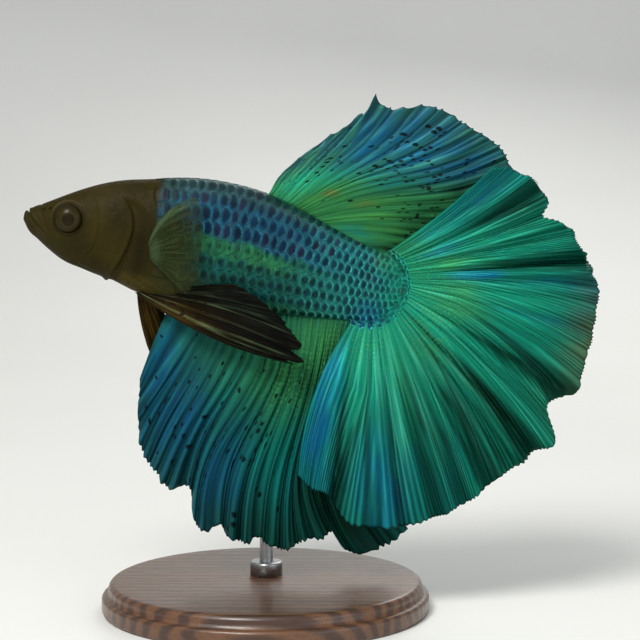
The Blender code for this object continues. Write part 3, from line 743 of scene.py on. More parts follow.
dorsal = {
    **plainFin, "node": "dorsal_fin", "grid": (400, 84),
    "rays": (  # the last figure sways the middle of the ray, in degrees
        (0.0, 63, 2, 2.7, 0.0, 10), (0.1, 58, 0, 11.9, 0.4, 0), (0.2, 56, 8, 19.9, 0.6, -6),
        (0.3, 46, 17, 22.1, 0.8, -10), (0.4, 43, 4, 24.8, 1.0, -11), (0.5, 41, -2, 27.0, 1.1, -17),
        (0.6, 32, 3, 28.4, 1.3, -14), (0.7, 25, 2, 27.2, 1.5, -12), (0.8, 20, -5, 23.9, 1.6, -9),
        (0.9, 13, -2, 17.8, 1.5, -10), (1.0, 16, -13, 8.0, 1.3, -3),
    ),
    "notches": ((0.172, 1.6, 0.014), (0.2, 2.4, 0.03), (0.25, 2.2, 0.035), (0.46, -0.45, 0.12)),
    "feet": (
        (0.0, 31.1), (0.1, 32.1), (0.2, 33.5), (0.3, 34.5), (0.5, 35.7), (0.7, 37.2), (0.8, 38.4),
        (0.9, 40.9), (1.0, 47.6),
    ),
    "valleys": (
        (0.09, 0.2, 0.15), (0.15, 0.25, 0.3), (0.21, 0.3, 0.45), (0.255, 0.25, 0.3), (0.3, 0.3, 0.45),
        (0.355, 0.3, 0.4), (0.41, 0.35, 0.4), (0.46, 0.3, 0.3), (0.51, 0.35, 0.45), (0.555, 0.35, 0.5),
        (0.605, 0.4, 0.6), (0.66, 0.5, 0.7), (0.71, 0.4, 0.5), (0.77, 0.4, 0.6), (0.825, 0.45, 0.8),
        (0.865, 0.4, 0.8), (0.905, 0.35, 0.7), (0.95, 0.35, 0.7),
    ),
    "fold": 0.45, "forks": (0.62,), "rayCount": 17.5, "gather": 0.04, "pleat": 0.07, "teeth": (0.5, 3.0),
    "spikes": ((0.2, 2.4, 0.012, 32), (0.14, 0.5, 0.008, 30), (0.09, 0.7, 0.008, 15), (0.3, 0.5, 0.01)),
    "washes": (
        ("mint", 0.16, 0.26, 0.13, 0.2, 0.8), ("mint", 0.3, 0.38, 0.06, 0.13, 0.6),
        ("finTeal", 0.45, 0.42, 0.14, 0.1, 0.6), ("slate", 0.28, 0.48, 0.22, 0.14, 0.45),
        ("slate", 0.3, 0.88, 0.3, 0.3, 0.75), ("slate", 0.1, 0.8, 0.09, 0.34, 0.85),
        ("dusk", 0.25, 0.75, 0.1, 0.25, 0.85), ("finBlue", 0.3, 0.6, 0.05, 0.14, 0.5),
        ("dusk", 0.42, 0.74, 0.14, 0.24, 0.95), ("finBlue", 0.46, 0.6, 0.08, 0.12, 0.4),
        ("dusk", 0.57, 0.8, 0.07, 0.24, 0.9), ("finTeal", 0.56, 0.5, 0.04, 0.14, 0.4),
        ("leaf", 0.4, 0.1, 0.12, 0.04, 0.4), ("rust", 0.46, 0.18, 0.06, 0.03, 0.7),
        ("rust", 0.68, 0.28, 0.04, 0.05, 0.35), ("leaf", 0.67, 0.34, 0.03, 0.12, 0.4),
        ("leaf", 0.8, 0.28, 0.025, 0.2, 0.5), ("leaf", 0.87, 0.45, 0.02, 0.16, 0.4),
        # nightGreen at 0.66 and pine at 0.62 in fold valleys, pine at 0.85 where the tail fan shades the fin,
        # nightGreen at 0.98 along the body: painted shade
        ("nightGreen", 0.66, 0.74, 0.022, 0.07, 0.95), ("pine", 0.62, 0.45, 0.03, 0.2, 0.4),
        ("pine", 0.85, 0.6, 0.12, 0.16, 0.5), ("finTeal", 0.9, 0.14, 0.05, 0.1, 0.5),
        ("nightGreen", 0.98, 0.2, 0.025, 0.3, 0.8), ("slate", 0.4, 1.02, 0.4, 0.07, 0.4),
    ),
    "base": "green",
    "dots": ((0.16, 0.45, 0.1, 0.25, 0.45), (0.44, 0.6, 0.2, 0.2, 0.6), (0.76, 0.56, 0.14, 0.12, 0.6)),
    "look": {
        "Across": 70.0, "Along": 1.4, "lit": 0.25, "pale": "leaf", "deep": "nightGreen", "rim": 0.5,
        "tone": (0.12, 0.1, 0.14, 0.35),
    },
}
anal = {
    **plainFin, "node": "anal_fin", "grid": (500, 92),
    "rays": (
        (0.0, -108, 10, 11.4, -0.3, 2), (0.05, -98, -18, 16.5, -0.4, -5), (0.1, -100, -4, 21.2, -0.6, -10),
        (0.2, -94, -8, 25.2, -0.8, -11), (0.35, -82, 0, 31.1, -1.0, -31), (0.5, -83, 2, 31.8, -1.2, -22),
        (0.65, -86, 8, 31.9, -1.0, -13), (0.8, -90, 37, 31.0, 0.0, -22), (0.9, -88, 46, 33.5, 0.7, -20),
        (1.0, -82, 38, 30.2, 1.4, -2),
    ),
    "notches": ((0.29, 3.0, 0.035), (0.42, 1.5, 0.02), (0.56, 1.3, 0.02), (0.83, 1.6, 0.025)),
    "feet": (
        (0.0, 21.5), (0.05, 25.1), (0.1, 27.0), (0.2, 30.2), (0.35, 34.4), (0.5, 38.0), (0.65, 41.4),
        (0.8, 43.5), (1.0, 45.4),
    ),
    "valleys": (
        (0.03, 0.4, 0.6), (0.075, 0.5, 0.6), (0.115, 0.4, 0.8), (0.15, 0.5, 0.7), (0.185, 0.4, 0.5),
        (0.225, 0.5, 0.7), (0.265, 0.7, 0.85), (0.305, 0.5, 0.7), (0.35, 0.4, 0.4), (0.39, 0.6, 0.6),
        (0.44, 0.6, 0.5), (0.5, 0.8, 0.85), (0.545, 0.5, 0.7), (0.59, 0.5, 0.5), (0.64, 0.7, 0.8),
        (0.7, 0.6, 0.6), (0.76, 0.7, 0.7), (0.82, 0.8, 0.8), (0.88, 0.7, 0.7), (0.94, 0.6, 0.6),
    ),
    "fold": 0.8, "forks": (0.42,), "rayCount": 30, "gather": 0.06, "pleat": 0.11, "teeth": (0.45, 0.9),
    "washes": (
        ("finTeal", 0.3, 0.4, 0.14, 0.14, 0.5), ("dusk", 0.05, 0.6, 0.06, 0.45, 0.9),
        ("finBlue", 0.02, 0.5, 0.01, 0.4, 0.7), ("dusk", 0.15, 0.6, 0.05, 0.35, 0.7),
        ("dusk", 0.21, 0.66, 0.035, 0.18, 0.9), ("dusk", 0.36, 0.8, 0.06, 0.16, 0.8),
        ("finBlue", 0.39, 0.7, 0.03, 0.2, 0.35), ("dusk", 0.45, 0.76, 0.05, 0.14, 0.7),
        ("finTeal", 0.62, 0.6, 0.1, 0.24, 0.8), ("seaGreen", 0.54, 0.55, 0.09, 0.26, 0.6),
        ("green", 0.3, 0.3, 0.3, 0.2, 0.5), ("dusk", 0.16, 0.74, 0.2, 0.3, 0.5),
        ("dusk", 0.42, 0.72, 0.12, 0.22, 0.35), ("green", 0.58, 0.24, 0.2, 0.18, 0.85),
        ("spring", 0.66, 0.1, 0.3, 0.12, 0.95), ("leaf", 0.76, 0.12, 0.12, 0.08, 0.35),
        ("slate", 0.3, 1.0, 0.34, 0.15, 0.45), ("pine", 0.62, 0.98, 0.25, 0.14, 0.5),
        ("pine", 0.88, 0.75, 0.14, 0.35, 0.85),
    ),
    "base": "tealDim", "specks": ((0.55, 0.26, 0.16, 0.16, 0.9), (0.78, 0.18, 0.2, 0.2, 1.0)),
    "dots": ((0.28, 0.64, 0.3, 0.26, 0.2), (0.46, 0.6, 0.06, 0.13, 0.7)),
    "look": {
        "Across": 56.0, "Along": 1.6, "lit": 0.45, "pale": "tealRim", "deep": "nightGreen", "rim": 0.35,
        "tone": (0.26, 0.1, 0.16, 0.45),
    },
}
pelvicLeft = {
    **plainFin, "node": "pelvic_fin_left", "grid": (150, 130), "side": -1,
    "rays": (
        (0.0, -25, 24, 22.0, 3.2), (0.3, -14, 6, 23.5, 3.2), (0.5, 1, -16, 22.3, 3.1),
        (0.75, 16, -20, 16.2, 2.9), (1.0, 21, -6, 11.0, 2.5),
    ),
    "notches": ((0.15, 1.4, 0.06), (0.4, 1.6, 0.06)),
    "feet": ((16.4, -7.3), (18.3, -6.9)), "footY": 1.4,
    "valleys": ((0.12, 0.15, 0.4), (0.38, 0.2, 0.5), (0.66, 0.2, 0.5), (0.88, 0.15, 0.4)), "fold": 1.0,
    "forks": (0.35, 0.7), "rayCount": 6, "gather": 0.05, "pleat": 0.05, "teeth": (0.5, 1.0),
    "spikes": ((0.02, 0.9, 0.02), (0.3, 0.8, 0.02), (0.52, 0.4, 0.02)), "thick": (0.4, 0.12),
    "washes": (
        ("ochre", 0.25, 0.3, 0.25, 0.16, 0.4), ("rust", 0.1, 0.15, 0.2, 0.12, 0.3),
        ("black", 0.75, 0.8, 0.3, 0.4, 0.7), ("black", 0.4, 0.95, 0.4, 0.25, 0.6),
    ),
    "base": "finBrown", "dots": ((0.3, 0.3, 0.3, 0.16, 0.6),),
    "look": {
        "Across": 26.0, "Along": 3.0, "lit": 0.4, "pale": "rimGrey", "deep": "black", "rim": 0.3,
        "tone": (0.5, 0.25, 0.3, 0.7),
    },
}
pelvicRight = {
    **pelvicLeft, "node": "pelvic_fin_right", "grid": (130, 110), "side": 1,
    "rays": (
        (0.0, -78, 30, 14.0, 2.0), (0.5, -66, 10, 13.2, 2.4), (1.0, -49, -20, 11.0, 2.8),
    ),
    "notches": ((0.3, 0.8, 0.06), (0.7, 0.8, 0.06)),
    "valleys": ((0.15, 0.15, 0.4), (0.42, 0.2, 0.5), (0.74, 0.2, 0.5)), "spikes": ((0.05, 0.8, 0.03),),
    "washes": (("ochre", 0.4, 0.35, 0.4, 0.35, 0.55), ("black", 0.7, 0.9, 0.4, 0.3, 0.5)), "dots": (),
    "look": {
        "Across": 22.0, "Along": 3.0, "lit": 0.3, "pale": "rust", "deep": "black", "rim": 0.3,
        "tone": (0.4, 0.25, 0.3, 0.6),
    },
}
pectoralLeft = {
    **plainFin, "node": "pectoral_fin_left", "grid": (170, 70), "side": -1,
    "rays": (
        (0.0, 88, -64, 9.6, 2.6), (0.25, 52, -28, 8.2, 3.0), (0.5, 19, -4, 7.1, 3.2),
        (0.75, -8, 2, 6.9, 3.2), (1.0, -30, -4, 6.6, 3.0),
    ),
    "feet": ((17.3, -0.7), (17.8, -2.4)), "footY": 4.2,
    "valleys": ((0.15, 0.1, 0.2), (0.45, 0.15, 0.3), (0.75, 0.15, 0.3)), "fold": 0.7, "forks": (0.35, 0.7),
    "rayCount": 12, "gather": 0.0, "pleat": 0.04, "teeth": (0.05, 1.0), "thick": (0.34, 0.08),
    "washes": (("rimGrey", 0.03, 0.5, 0.05, 0.6, 0.95), ("rimGrey", 0.5, 0.1, 0.5, 0.14, 0.6)),
    "base": "filmOlive",
    "look": {
        "Across": 40.0, "Along": 3.0, "lit": 0.2, "pale": "rimGrey", "deep": "finBrown", "rim": 0.1,
        "tone": (0.12, 0.08, 0.1, 0.3), "clear": 0.62,
    },
}
pectoralRight = {**pectoralLeft, "node": "pectoral_fin_right", "side": 1}


def rayRoom(fin, u, v):  # distance to the nearest ray, in shares of one ray's room
    away = np.abs((fin["rayCount"] * u) % 1 - 0.5) + 0 * v
    for start, reach in zip(fin["forks"], forking["reach"]):
        away = np.abs(away - reach * ease(v, start, start + forking["run"]))
    return away


def foldTurn(fin, u):  # whole numbers in the valleys, halves on the ridges, and each place's room
    shares = np.array([row[0] for row in fin["valleys"]])
    before, after = 2 * shares[0] - shares[1] - 0.02, 2 * shares[-1] - shares[-2] + 0.02
    shares = np.concatenate([[before], shares, [after]])
    turn = np.interp(u, shares, np.arange(len(shares)) - 1.0)
    return turn, np.interp(u, (shares[1:] + shares[:-1]) / 2, np.diff(shares))


def foldWave(fin, u):  # 1 in the bottom of each valley, -1 on the ridges
    return np.cos(fullTurn * foldTurn(fin, u)[0])


def valleyRow(fin, u, column):  # depth (column 1) or darkness of the painted shade (column 2) of the valleys nearby
    rows = np.array(fin["valleys"])
    return np.interp(u, rows[:, 0], rows[:, column])


def gapLines(fin, v):  # each gap's row with its two sides, for shares along the fin
    for row in fin["gaps"]:
        share, start, left, right = row[:4]
        wide = np.clip((v - start) / (1 - start), 0, 1) ** 0.8
        yield row, share + (left - share) * wide, share + (right - share) * wide


def fanShare(fin, u, v):  # follows the rays of a lobe, which spread out over the gaps
    share = u + 0 * v
    edges = [(row[0], (left + right) / 2) for row, left, right in gapLines(fin, v)]
    edges = [(0.0, 0 * v), *edges, (1.0, 1 + 0 * v)]
    for (start, low), (end, high) in zip(edges, edges[1:]):
        inside = (u >= low) & (u <= high)
        share = np.where(inside, start + (end - start) * (u - low) / (high - low), share)
    return share


def gapShade(fin, u, v):  # painted shade in the gaps between lobes: how dark they are
    total = 0 * (u + v)
    for row, left, right in gapLines(fin, v):
        inside = window(u, left - 0.012, left + 0.006, right - 0.004, right + 0.004)
        total = np.maximum(total, row[4] * ease(v, row[1] - 0.05, row[1] + 0.2) * inside)
    return total


def rayShare(fin, u, v):  # uneven room between rays, which spread on the ridges and gather in the valleys
    u = fanShare(fin, u, v)
    turn, room = foldTurn(fin, u)
    gather = fin["gather"] * room * np.sin(fullTurn * turn) * ease(v, 0.1, 0.8)
    uneven = fin["unevenRays"] / fin["rayCount"] * wander(len(fin["node"]), u * 7)
    return u + window(u, 0, 0.06, 0.94, 1) * (uneven + gather)


def feetOf(fin, u):  # where the rays start
    if "footY" in fin:
        (x0, z0), (x1, z1) = fin["feet"]
        return x0 + (x1 - x0) * u, z0 + (z1 - z0) * u
    foot = smooth(fin["feet"], u)[..., 0]
    if "centre" in fin:
        turn = np.radians(foot)
        (x, z), (long, tall) = fin["centre"], fin["radii"]
        return x + long * np.cos(turn), z + tall * np.sin(turn)
    back, belly = np.moveaxis(smooth(fish["rows"], foot)[..., :2], -1, 0)
    return foot, (back - fish["sunk"]) if fin is dorsal else (belly + fish["sunk"])


def finSheet(fin, u, v):  # middle of the fin, for shares across (rows) and along (columns)
    line = u[:, 0]
    root, bend, length, lean, *sway = np.moveaxis(smooth(fin["rays"], line), -1, 0)
    sway = sway[0] if sway else 0 * root
    for share, depth, width in fin["notches"]:
        length = length - depth * hump(line, share, width)
    tip = 1.0 + 0 * u
    room = rayRoom(fin, rayShare(fin, u, tip), tip)[:, 0]
    sharp = 1 - np.clip(room * 2 ** (1 + len(fin["forks"])), 0, 1)
    uneven = 0.75 + 0.5 * wander(21 + len(fin["node"]), line * 9)
    height, power = fin["teeth"]
    tooth = height * (sharp**power * uneven - 0.5)
    aside = 0 * line
    for share, height, width, *turn in fin["spikes"]:
        spike = height * np.exp(-np.abs((line - share) / width))
        turn = math.radians(turn[0] if turn else 0)
        tooth, aside = tooth + spike * math.cos(turn), aside + spike * math.sin(turn)
    tooth = tooth * window(line, 0, 0.02, 0.98, 1) + min(0.25, height) * wander(5, line * 5)
    x, z = (foot[:, None] + 0 * v for foot in feetOf(fin, line))
    steps = fin["steps"]
    for step in range(steps):
        walked = np.clip(v * steps - step, 0, 1) * length[:, None] / steps
        part = (step + 0.5) / steps
        angle = np.radians(root + bend * part + sway * math.sin(math.pi * part) ** 2)[:, None]
        x = x + np.cos(angle) * walked
        z = z + np.sin(angle) * walked
    tooth, aside, lean = tooth[:, None], aside[:, None], lean[:, None]
    x = x + (np.cos(angle) * tooth - np.sin(angle) * aside) * v ** fin["toothFade"]
    z = z + (np.sin(angle) * tooth + np.cos(angle) * aside) * v ** fin["toothFade"]
    wave = foldWave(fin, u)
    wave = (1 - fin["sharpFold"]) * wave + fin["sharpFold"] * wave * np.abs(wave)
    pleats = rayRoom(fin, rayShare(fin, u, v), v) * 2 - 0.5
    fold = fin["fold"] * valleyRow(fin, u, 1) * v**1.1 * wave + fin["pleat"] * ease(v, 0.05, 0.5) * pleats
    fold = fold + fin["waver"] * v * wander(31, u * 3, v * 1.2)
    y = lean * v * (1 + fin["curl"] - fin["curl"] * v)
    y = fin["side"] * (fin["footY"] + y - fold) if fin["side"] else y + fold
    return np.stack([x, y, z], -1)


def finPaint(fin, u, v):
    colour = np.broadcast_to(paints[fin["base"]], (*np.broadcast(u, v).shape, 3))
    drift = 1 + 0.35 * wander(41, u * 9, v * 1.5)
    for name, *patch in fin["washes"]:
        colour = wash(colour, name, softSpot(u, v, *patch) * drift)
    return colour


def patches(rows, u, v):
    total = 0 * (u + v)
    for row in rows:
        total = np.maximum(total, softSpot(u, v, *row))
    return total


def finFinish(fin):
    look = fin["look"]
    ridge, fine, broad, creaseShade = look["tone"]
    name = fin["node"].replace("_fin", "Fin").replace("_left", "Left").replace("_right", "Right")
    material, tree, shader = newFinish(name, {"Specular IOR Level": 0.06})
    flat = tree.nodes.new("ShaderNodeUVMap")
    flat.uv_map = "finMap"
    flat = flat.outputs[0]
    v = parts(tree, flat)[1]
    forks = (*fin["forks"], 1.4, 1.4)  # past the rim where there is no fork
    lines = useGroup(tree, rayPattern, {
        "Map": flat, "Rays": float(fin["rayCount"]), "First Fork": forks[0], "Second Fork": forks[1],
    })
    fibres = useGroup(tree, streaks, {
        "Map": flat, "Across": look["Across"], "Along": look["Along"], "Shift": float(len(fin["node"])),
    })
    spots = useGroup(tree, mottle, {"Place": place(tree), "Patch": 0.5, "Grain": 4.0})
    # the first part of zones is the painted shade of the fold valleys and lobe gaps
    valleyShade, dotty, specky = parts(tree, attribute(tree, "zones", "Vector"))
    # the last tone darkens the valleys and lightly brightens the ridges: painted shade and light
    tone = times(
        tree,
        spread(tree, lines["Ridge"], 1 - ridge, 1 + ridge * 0.25),
        spread(tree, fibres["Fine"], 1 - fine, 1 + fine),
        spread(tree, fibres["Broad"], 1 - broad, 1 + broad),
        spread(tree, valleyShade, 1.05, 1 - creaseShade),
    )
    # deep is the colour of the painted valley shade and of the thin film near the rim
    deep = paints[look["deep"]]
    colour = attribute(tree, "washPaint")
    colour = filtered(tree, times(tree, spots["Patches"], 0.3), colour, (1.3, 1.08, 0.7))
    bright = times(tree, lines["Line"], lines["Pick"], look["lit"], span(tree, v, 0.75, 1.0, 1.0, 0.35))
    colour = tint(tree, bright, colour, paints[look["pale"]])
    # painted shade: the valleys tinted towards the deep colour
    colour = tint(tree, times(tree, valleyShade, creaseShade * 0.8), colour, deep)
    film = times(tree, fade(tree, lines["Ridge"], 0.0, 0.5), span(tree, v, 0.6, 1.0), look["rim"])
    colour = scaled(tree, tint(tree, film, colour, deep), tone)
    speck = 0.0
    if fin["specks"]:
        rows = stretched(tree, flat, (fin["rayCount"] * 2.0, 50.0, 0.0))
        near, dice = cells(tree, rows, 0.35, "2D")
        speck = times(tree, fade(tree, near, 0.25, 0.5), specky)
        colour = filtered(tree, times(tree, specky, 0.5), colour, (0.5, 0.6, 0.5))
        light = times(tree, speck, span(tree, parts(tree, dice)[0], 0.2, 0.8, 0.2, 0.8))
        colour = tint(tree, light, colour, paints["leafPale"])
    if fin["dots"]:
        near, dice = cells(tree, stretched(tree, flat, (fin["rayCount"] * 2.8, 24.0, 0.0)), 0.85, "2D")
        chance = calc(tree, "GREATER_THAN", plus(tree, parts(tree, dice)[0], dotty), 1.0)
        ink = times(tree, fade(tree, near, 0.24, 0.36), chance, 0.9)
        colour = tint(tree, ink, colour, paints["black"])
    height = plus(
        tree,
        times(tree, lines["Ridge"], 0.9),
        times(tree, fibres["Fine"], 0.35),
        times(tree, fibres["Broad"], 0.4),
        times(tree, speck, 0.8),
    )
    relief(tree, shader, height, 0.05)
    plug(tree, shader, {
        "Base Color": colour,
        "Roughness": spread(tree, fibres["Fine"], 0.36, 0.5),
        "Metallic": spread(tree, lines["Ridge"], 0.2, 0.4),
    })
    if "clear" in look:
        solid = calc(tree, "MAXIMUM", times(tree, lines["Ridge"], 0.6), span(tree, v, 0.1, 0.5, 0.8, 0.0))
        solid = times(tree, spread(tree, solid, look["clear"], 1.0), span(tree, v, 0.5, 1.0, 1.0, 0.35))
        feed(tree, solid, shader.inputs["Alpha"])
    return material


def makeFin(fin, name):
    across, along = fin["grid"]
    u = np.linspace(0, 1, across)[:, None]
    v = np.linspace(0, 1, along)[None, :] ** fin["crowding"]
    middle = finSheet(fin, u, v)
    wide = rayShare(fin, u, v)
    levels = 1 + sum(ease(v, start, start + forking["run"]) for start in fin["forks"])
    ridge = 1 - ease(rayRoom(fin, wide, v) * 2**levels, 0.15, 0.9)
    rootThick, rimThick = fin["thick"]
    thick = rootThick + (rimThick - rootThick) * v + fin["rib"] * ridge * (1 - 0.4 * v)
    half = gridNormals(middle) * thick[..., None] / 2
    count = across * along
    front = np.arange(count).reshape(across, along)
    inside = np.zeros((across, along), bool)
    inside[1:-1, 1:-1] = True
    rear = front.copy()
    rear[inside] = count + np.arange(inside.sum())
    points = np.concatenate([(middle + half * inside[..., None]).reshape(-1, 3), (middle - half)[inside]])
    faces = np.concatenate([corners(front), corners(rear, True)])
    flat = np.stack([wide, np.broadcast_to(v, wide.shape)], -1)
    wave = foldWave(fin, u)
    # painted shade in the fold valleys and in the gaps between lobes, stronger further out
    valleyShade = ease(wave, 0.0, 1.0) * valleyRow(fin, u, 2) * (0.15 + 0.85 * ease(v, 0.12, 0.6))
    if fin["gaps"]:
        valleyShade = np.maximum(0.75 * valleyShade * ease(wave, 0.2, 0.9), gapShade(fin, u, v))
    marks = (valleyShade, patches(fin["dots"], u, v), patches(fin["specks"], u, v))
    marks = np.stack(np.broadcast_arrays(*marks), -1)
    colour, zones = (
        np.concatenate([grid.reshape(count, 3), grid[inside]]) for grid in (finPaint(fin, u, v), marks)
    )
    piece = newPiece(
        name, toFrame(points), faces.tolist(), finFinish(fin),
        np.concatenate([corners(flat), corners(flat, True)]), "finMap", washPaint=colour, zones=zones,
    )
    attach(piece, "root")
    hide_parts(fin["node"])
    print(name, len(piece.data.polygons))
    return piece


fins = {}
for fin, name, slot in (
    (caudal, "tailFan", "caudal_fin"),
    (dorsal, "dorsalFin", "dorsal_fin"),
    (anal, "analFin", "anal_fin"),
    (pelvicLeft, "pelvicFinLeft", "pelvic_fin"),
    (pelvicRight, "pelvicFinRight", "pelvic_fin"),
    (pectoralLeft, "pectoralFinLeft", "pectoral_fin"),
    (pectoralRight, "pectoralFinRight", "pectoral_fin"),
):
    fins[name] = makeFin(fin, name)


# Scales: one plate laid in staggered rows over skin and tail root, its free edge towards the tail

scaleLay = {
    "from": 13.4,
    "to": 50.6,
    "pitches": (  # distance from the snout, pitch along the body, room between rows
        (13.0, 1.22, 2.0), (30.0, 1.26, 2.0), (38.0, 1.15, 1.66), (43.0, 1.0, 1.4), (47.0, 0.85, 1.12),
        (51.4, 0.7, 0.95),
    ),
    "overlap": 1.9,  # plate length over the pitch along the body
    "wide": 1.26,  # plate width over the room between rows
    "rise": 0.085,  # millimetres at the free edge
    "lift": 0.012,
    "twist": 0.09,  # radians either way
    "seed": 4,
    "margin": 0.3,  # bare strip on back and belly, as a share of the room between rows
    "neckFrom": 0.72,  # share of the neck from which plates stand
    "offOpercle": 0.35,  # millimetres from the gill cover's edge
    "bareThroat": (17.5, -5.2),  # its rear end and its top
    "vary": 0.07,  # spread of the plates' sizes
    "patch": 0.003,  # size of a plate on the flat map
    "tailRings": ((0.1, 0.95), (0.6, 0.8)),  # how far out on the tail fin, and room between plates
}
plate = {  # in shares of a plate's length, width and rise
    "faces": (6, 5),  # across and along
    "crowding": 0.85,  # below 1 crowds the faces towards the edges
    "round": 0.27,  # how far the free edge's corners draw back
    "rootRound": 0.1,
    "taper": 0.14,
    "rootHeight": 0.12,
    "droop": 0.2,  # at the free corners
    "skirt": 0.5,  # how far the sides reach down
    "lowest": -0.15,
}


def makePlate():  # unit plate: x from root to free edge, y across, and how high each point stands
    across, along = plate["faces"]
    p = np.linspace(0, 1, along + 1)[:, None] ** plate["crowding"]
    q = np.linspace(-1, 1, across + 1)[None, :]
    q = np.sign(q) * np.abs(q) ** plate["crowding"] + 0 * p
    p = p + 0 * q
    side = np.abs(q) ** 3
    x = p - 0.5 - plate["round"] * p * side + plate["rootRound"] * (1 - p) * np.abs(q) ** 2
    y = 0.5 * q * (1 - plate["taper"] * p**3)
    top = plate["rootHeight"] + (1 - plate["rootHeight"]) * p - plate["droop"] * p * side
    index = np.arange(x.size).reshape(x.shape)
    rim = np.concatenate([index[0, :-1], index[:-1, -1], index[-1, :0:-1], index[:0:-1, 0]])
    low = x.size + np.arange(len(rim))
    sides = np.stack([rim, np.roll(rim, -1), np.roll(low, -1), low], -1)
    faces = corners(index).tolist() + sides.tolist() + [low.tolist()]
    points, share = (
        np.concatenate([grid.reshape(-1, 3), grid.reshape(-1, 3)[rim]])
        for grid in (np.stack([x, y, 0 * x], -1), np.stack([p, q / 2 + 0.5, top], -1))
    )
    share[x.size:, 2] = np.maximum(share[x.size:, 2] - plate["skirt"], plate["lowest"])
    mesh = bpy.data.meshes.new("scalePlate")
    mesh.from_pydata(points.tolist(), [], faces)
    addAttribute(mesh, "plateShare", share)
    mesh.shade_smooth()
    return bpy.data.objects.new("scalePlate", mesh)


def flankLine(x, offset, side):  # angle round the body for a distance up the flank from its middle
    turns = np.radians(np.linspace(-90, 90, 181))
    line = bodyPoints(np.full(181, x), turns)
    run = np.concatenate([[0], np.cumsum(np.linalg.norm(np.diff(line, axis=0), axis=1))])
    middle = run[90]
    turn = np.interp(offset + middle, run, turns)
    return (turn if side > 0 else math.pi - turn), run[-1] - middle, middle


def flankRoots():  # place, way to the tail, way round, size, flat map and stand of every root on the body
    lay = scaleLay
    starts = [lay["from"]]
    while starts[-1] < lay["to"]:
        starts.append(starts[-1] + float(smooth(lay["pitches"], starts[-1])[0]))
    count = np.arange(len(starts))
    found = []
    for side in (-1, 1):
        for row in range(-7, 8):
            for column in count[:-1]:
                x = float(np.interp(column + 0.5 * (row % 2), count, starts))
                pitch, tall = smooth(lay["pitches"], x)
                turn, above, below = flankLine(x, row * tall, side)
                margin = lay["margin"] * tall
                if margin - below < row * tall < above - margin:
                    found.append((x, turn, pitch, tall))
    throatEnd, throatTop = lay["bareThroat"]
    ridges = ((math.pi / 2, 0, dorsal["feet"][0][1]), (1.5 * math.pi, throatEnd, anal["feet"][0][1]))
    for turn, low, high in ridges:
        found += [(x, turn, *smooth(lay["pitches"], x)) for x in starts if low < x < high]
    x, turn, pitch, tall = np.array(found).T
    here = bodyPoints(x, turn, -lay["rise"])
    z = here[:, 2]
    neck = neckShare(x + 0.5, z)
    throat = (z < throatTop) & (x < throatEnd)
    keep = (neck > lay["neckFrom"]) & (pastOpercle(x, z) > lay["offOpercle"]) & ~throat
    x, turn, pitch, tall, here, neck = (part[keep] for part in (x, turn, pitch, tall, here, neck))
    ahead = bodyPoints(x + 0.15, turn, -lay["rise"]) - bodyPoints(x - 0.15, turn, -lay["rise"])
    around = bodyPoints(x, turn + 0.02, -lay["rise"]) - bodyPoints(x, turn - 0.02, -lay["rise"])
    flat = np.stack([x / fish["unwrap"], (turn / fullTurn) % 1], -1)
    stand = (0.6 * neck + 0.4) * (1 - 0.5 * ease(x, 47, 50))
    return here, ahead, around, np.stack([pitch, tall], -1), flat, stand


def tailRoots():  # the same on the tail fin, in rings that fade out
    lay = scaleLay
    found = []
    for side in (-1, 1):
        for ring, (out, room) in enumerate(lay["tailRings"]):
            count = int(math.pi * (sum(caudal["radii"]) / 2 + out) / room)
            for column in range(count):
                found.append((side, (column + 0.25 + 0.5 * (ring % 2)) / count, out, room))
    side, u, out, room = np.array(found).T
    length = smooth(caudal["rays"], u)[:, 2]
    flat = np.stack([(fish["length"] + 0.1 + out) / fish["unwrap"], (0.25 - side * u / 2) % 1], -1)
    u, v = u[:, None], (out / length)[:, None]

    def at(shareU, shareV):
        return finSheet(caudal, shareU, shareV)[:, 0]

    here = at(u, v) + np.stack([0 * out, 0.3 * side, 0 * out], -1)
    ahead = at(u, v + 0.01) - at(u, v)
    around = (at(u - 0.003, v) - at(u + 0.003, v)) * side[:, None]
    return here, ahead, around, np.stack([room * 0.8, room], -1), flat, np.interp(out, (0, 0.7), (0.55, 0.3))


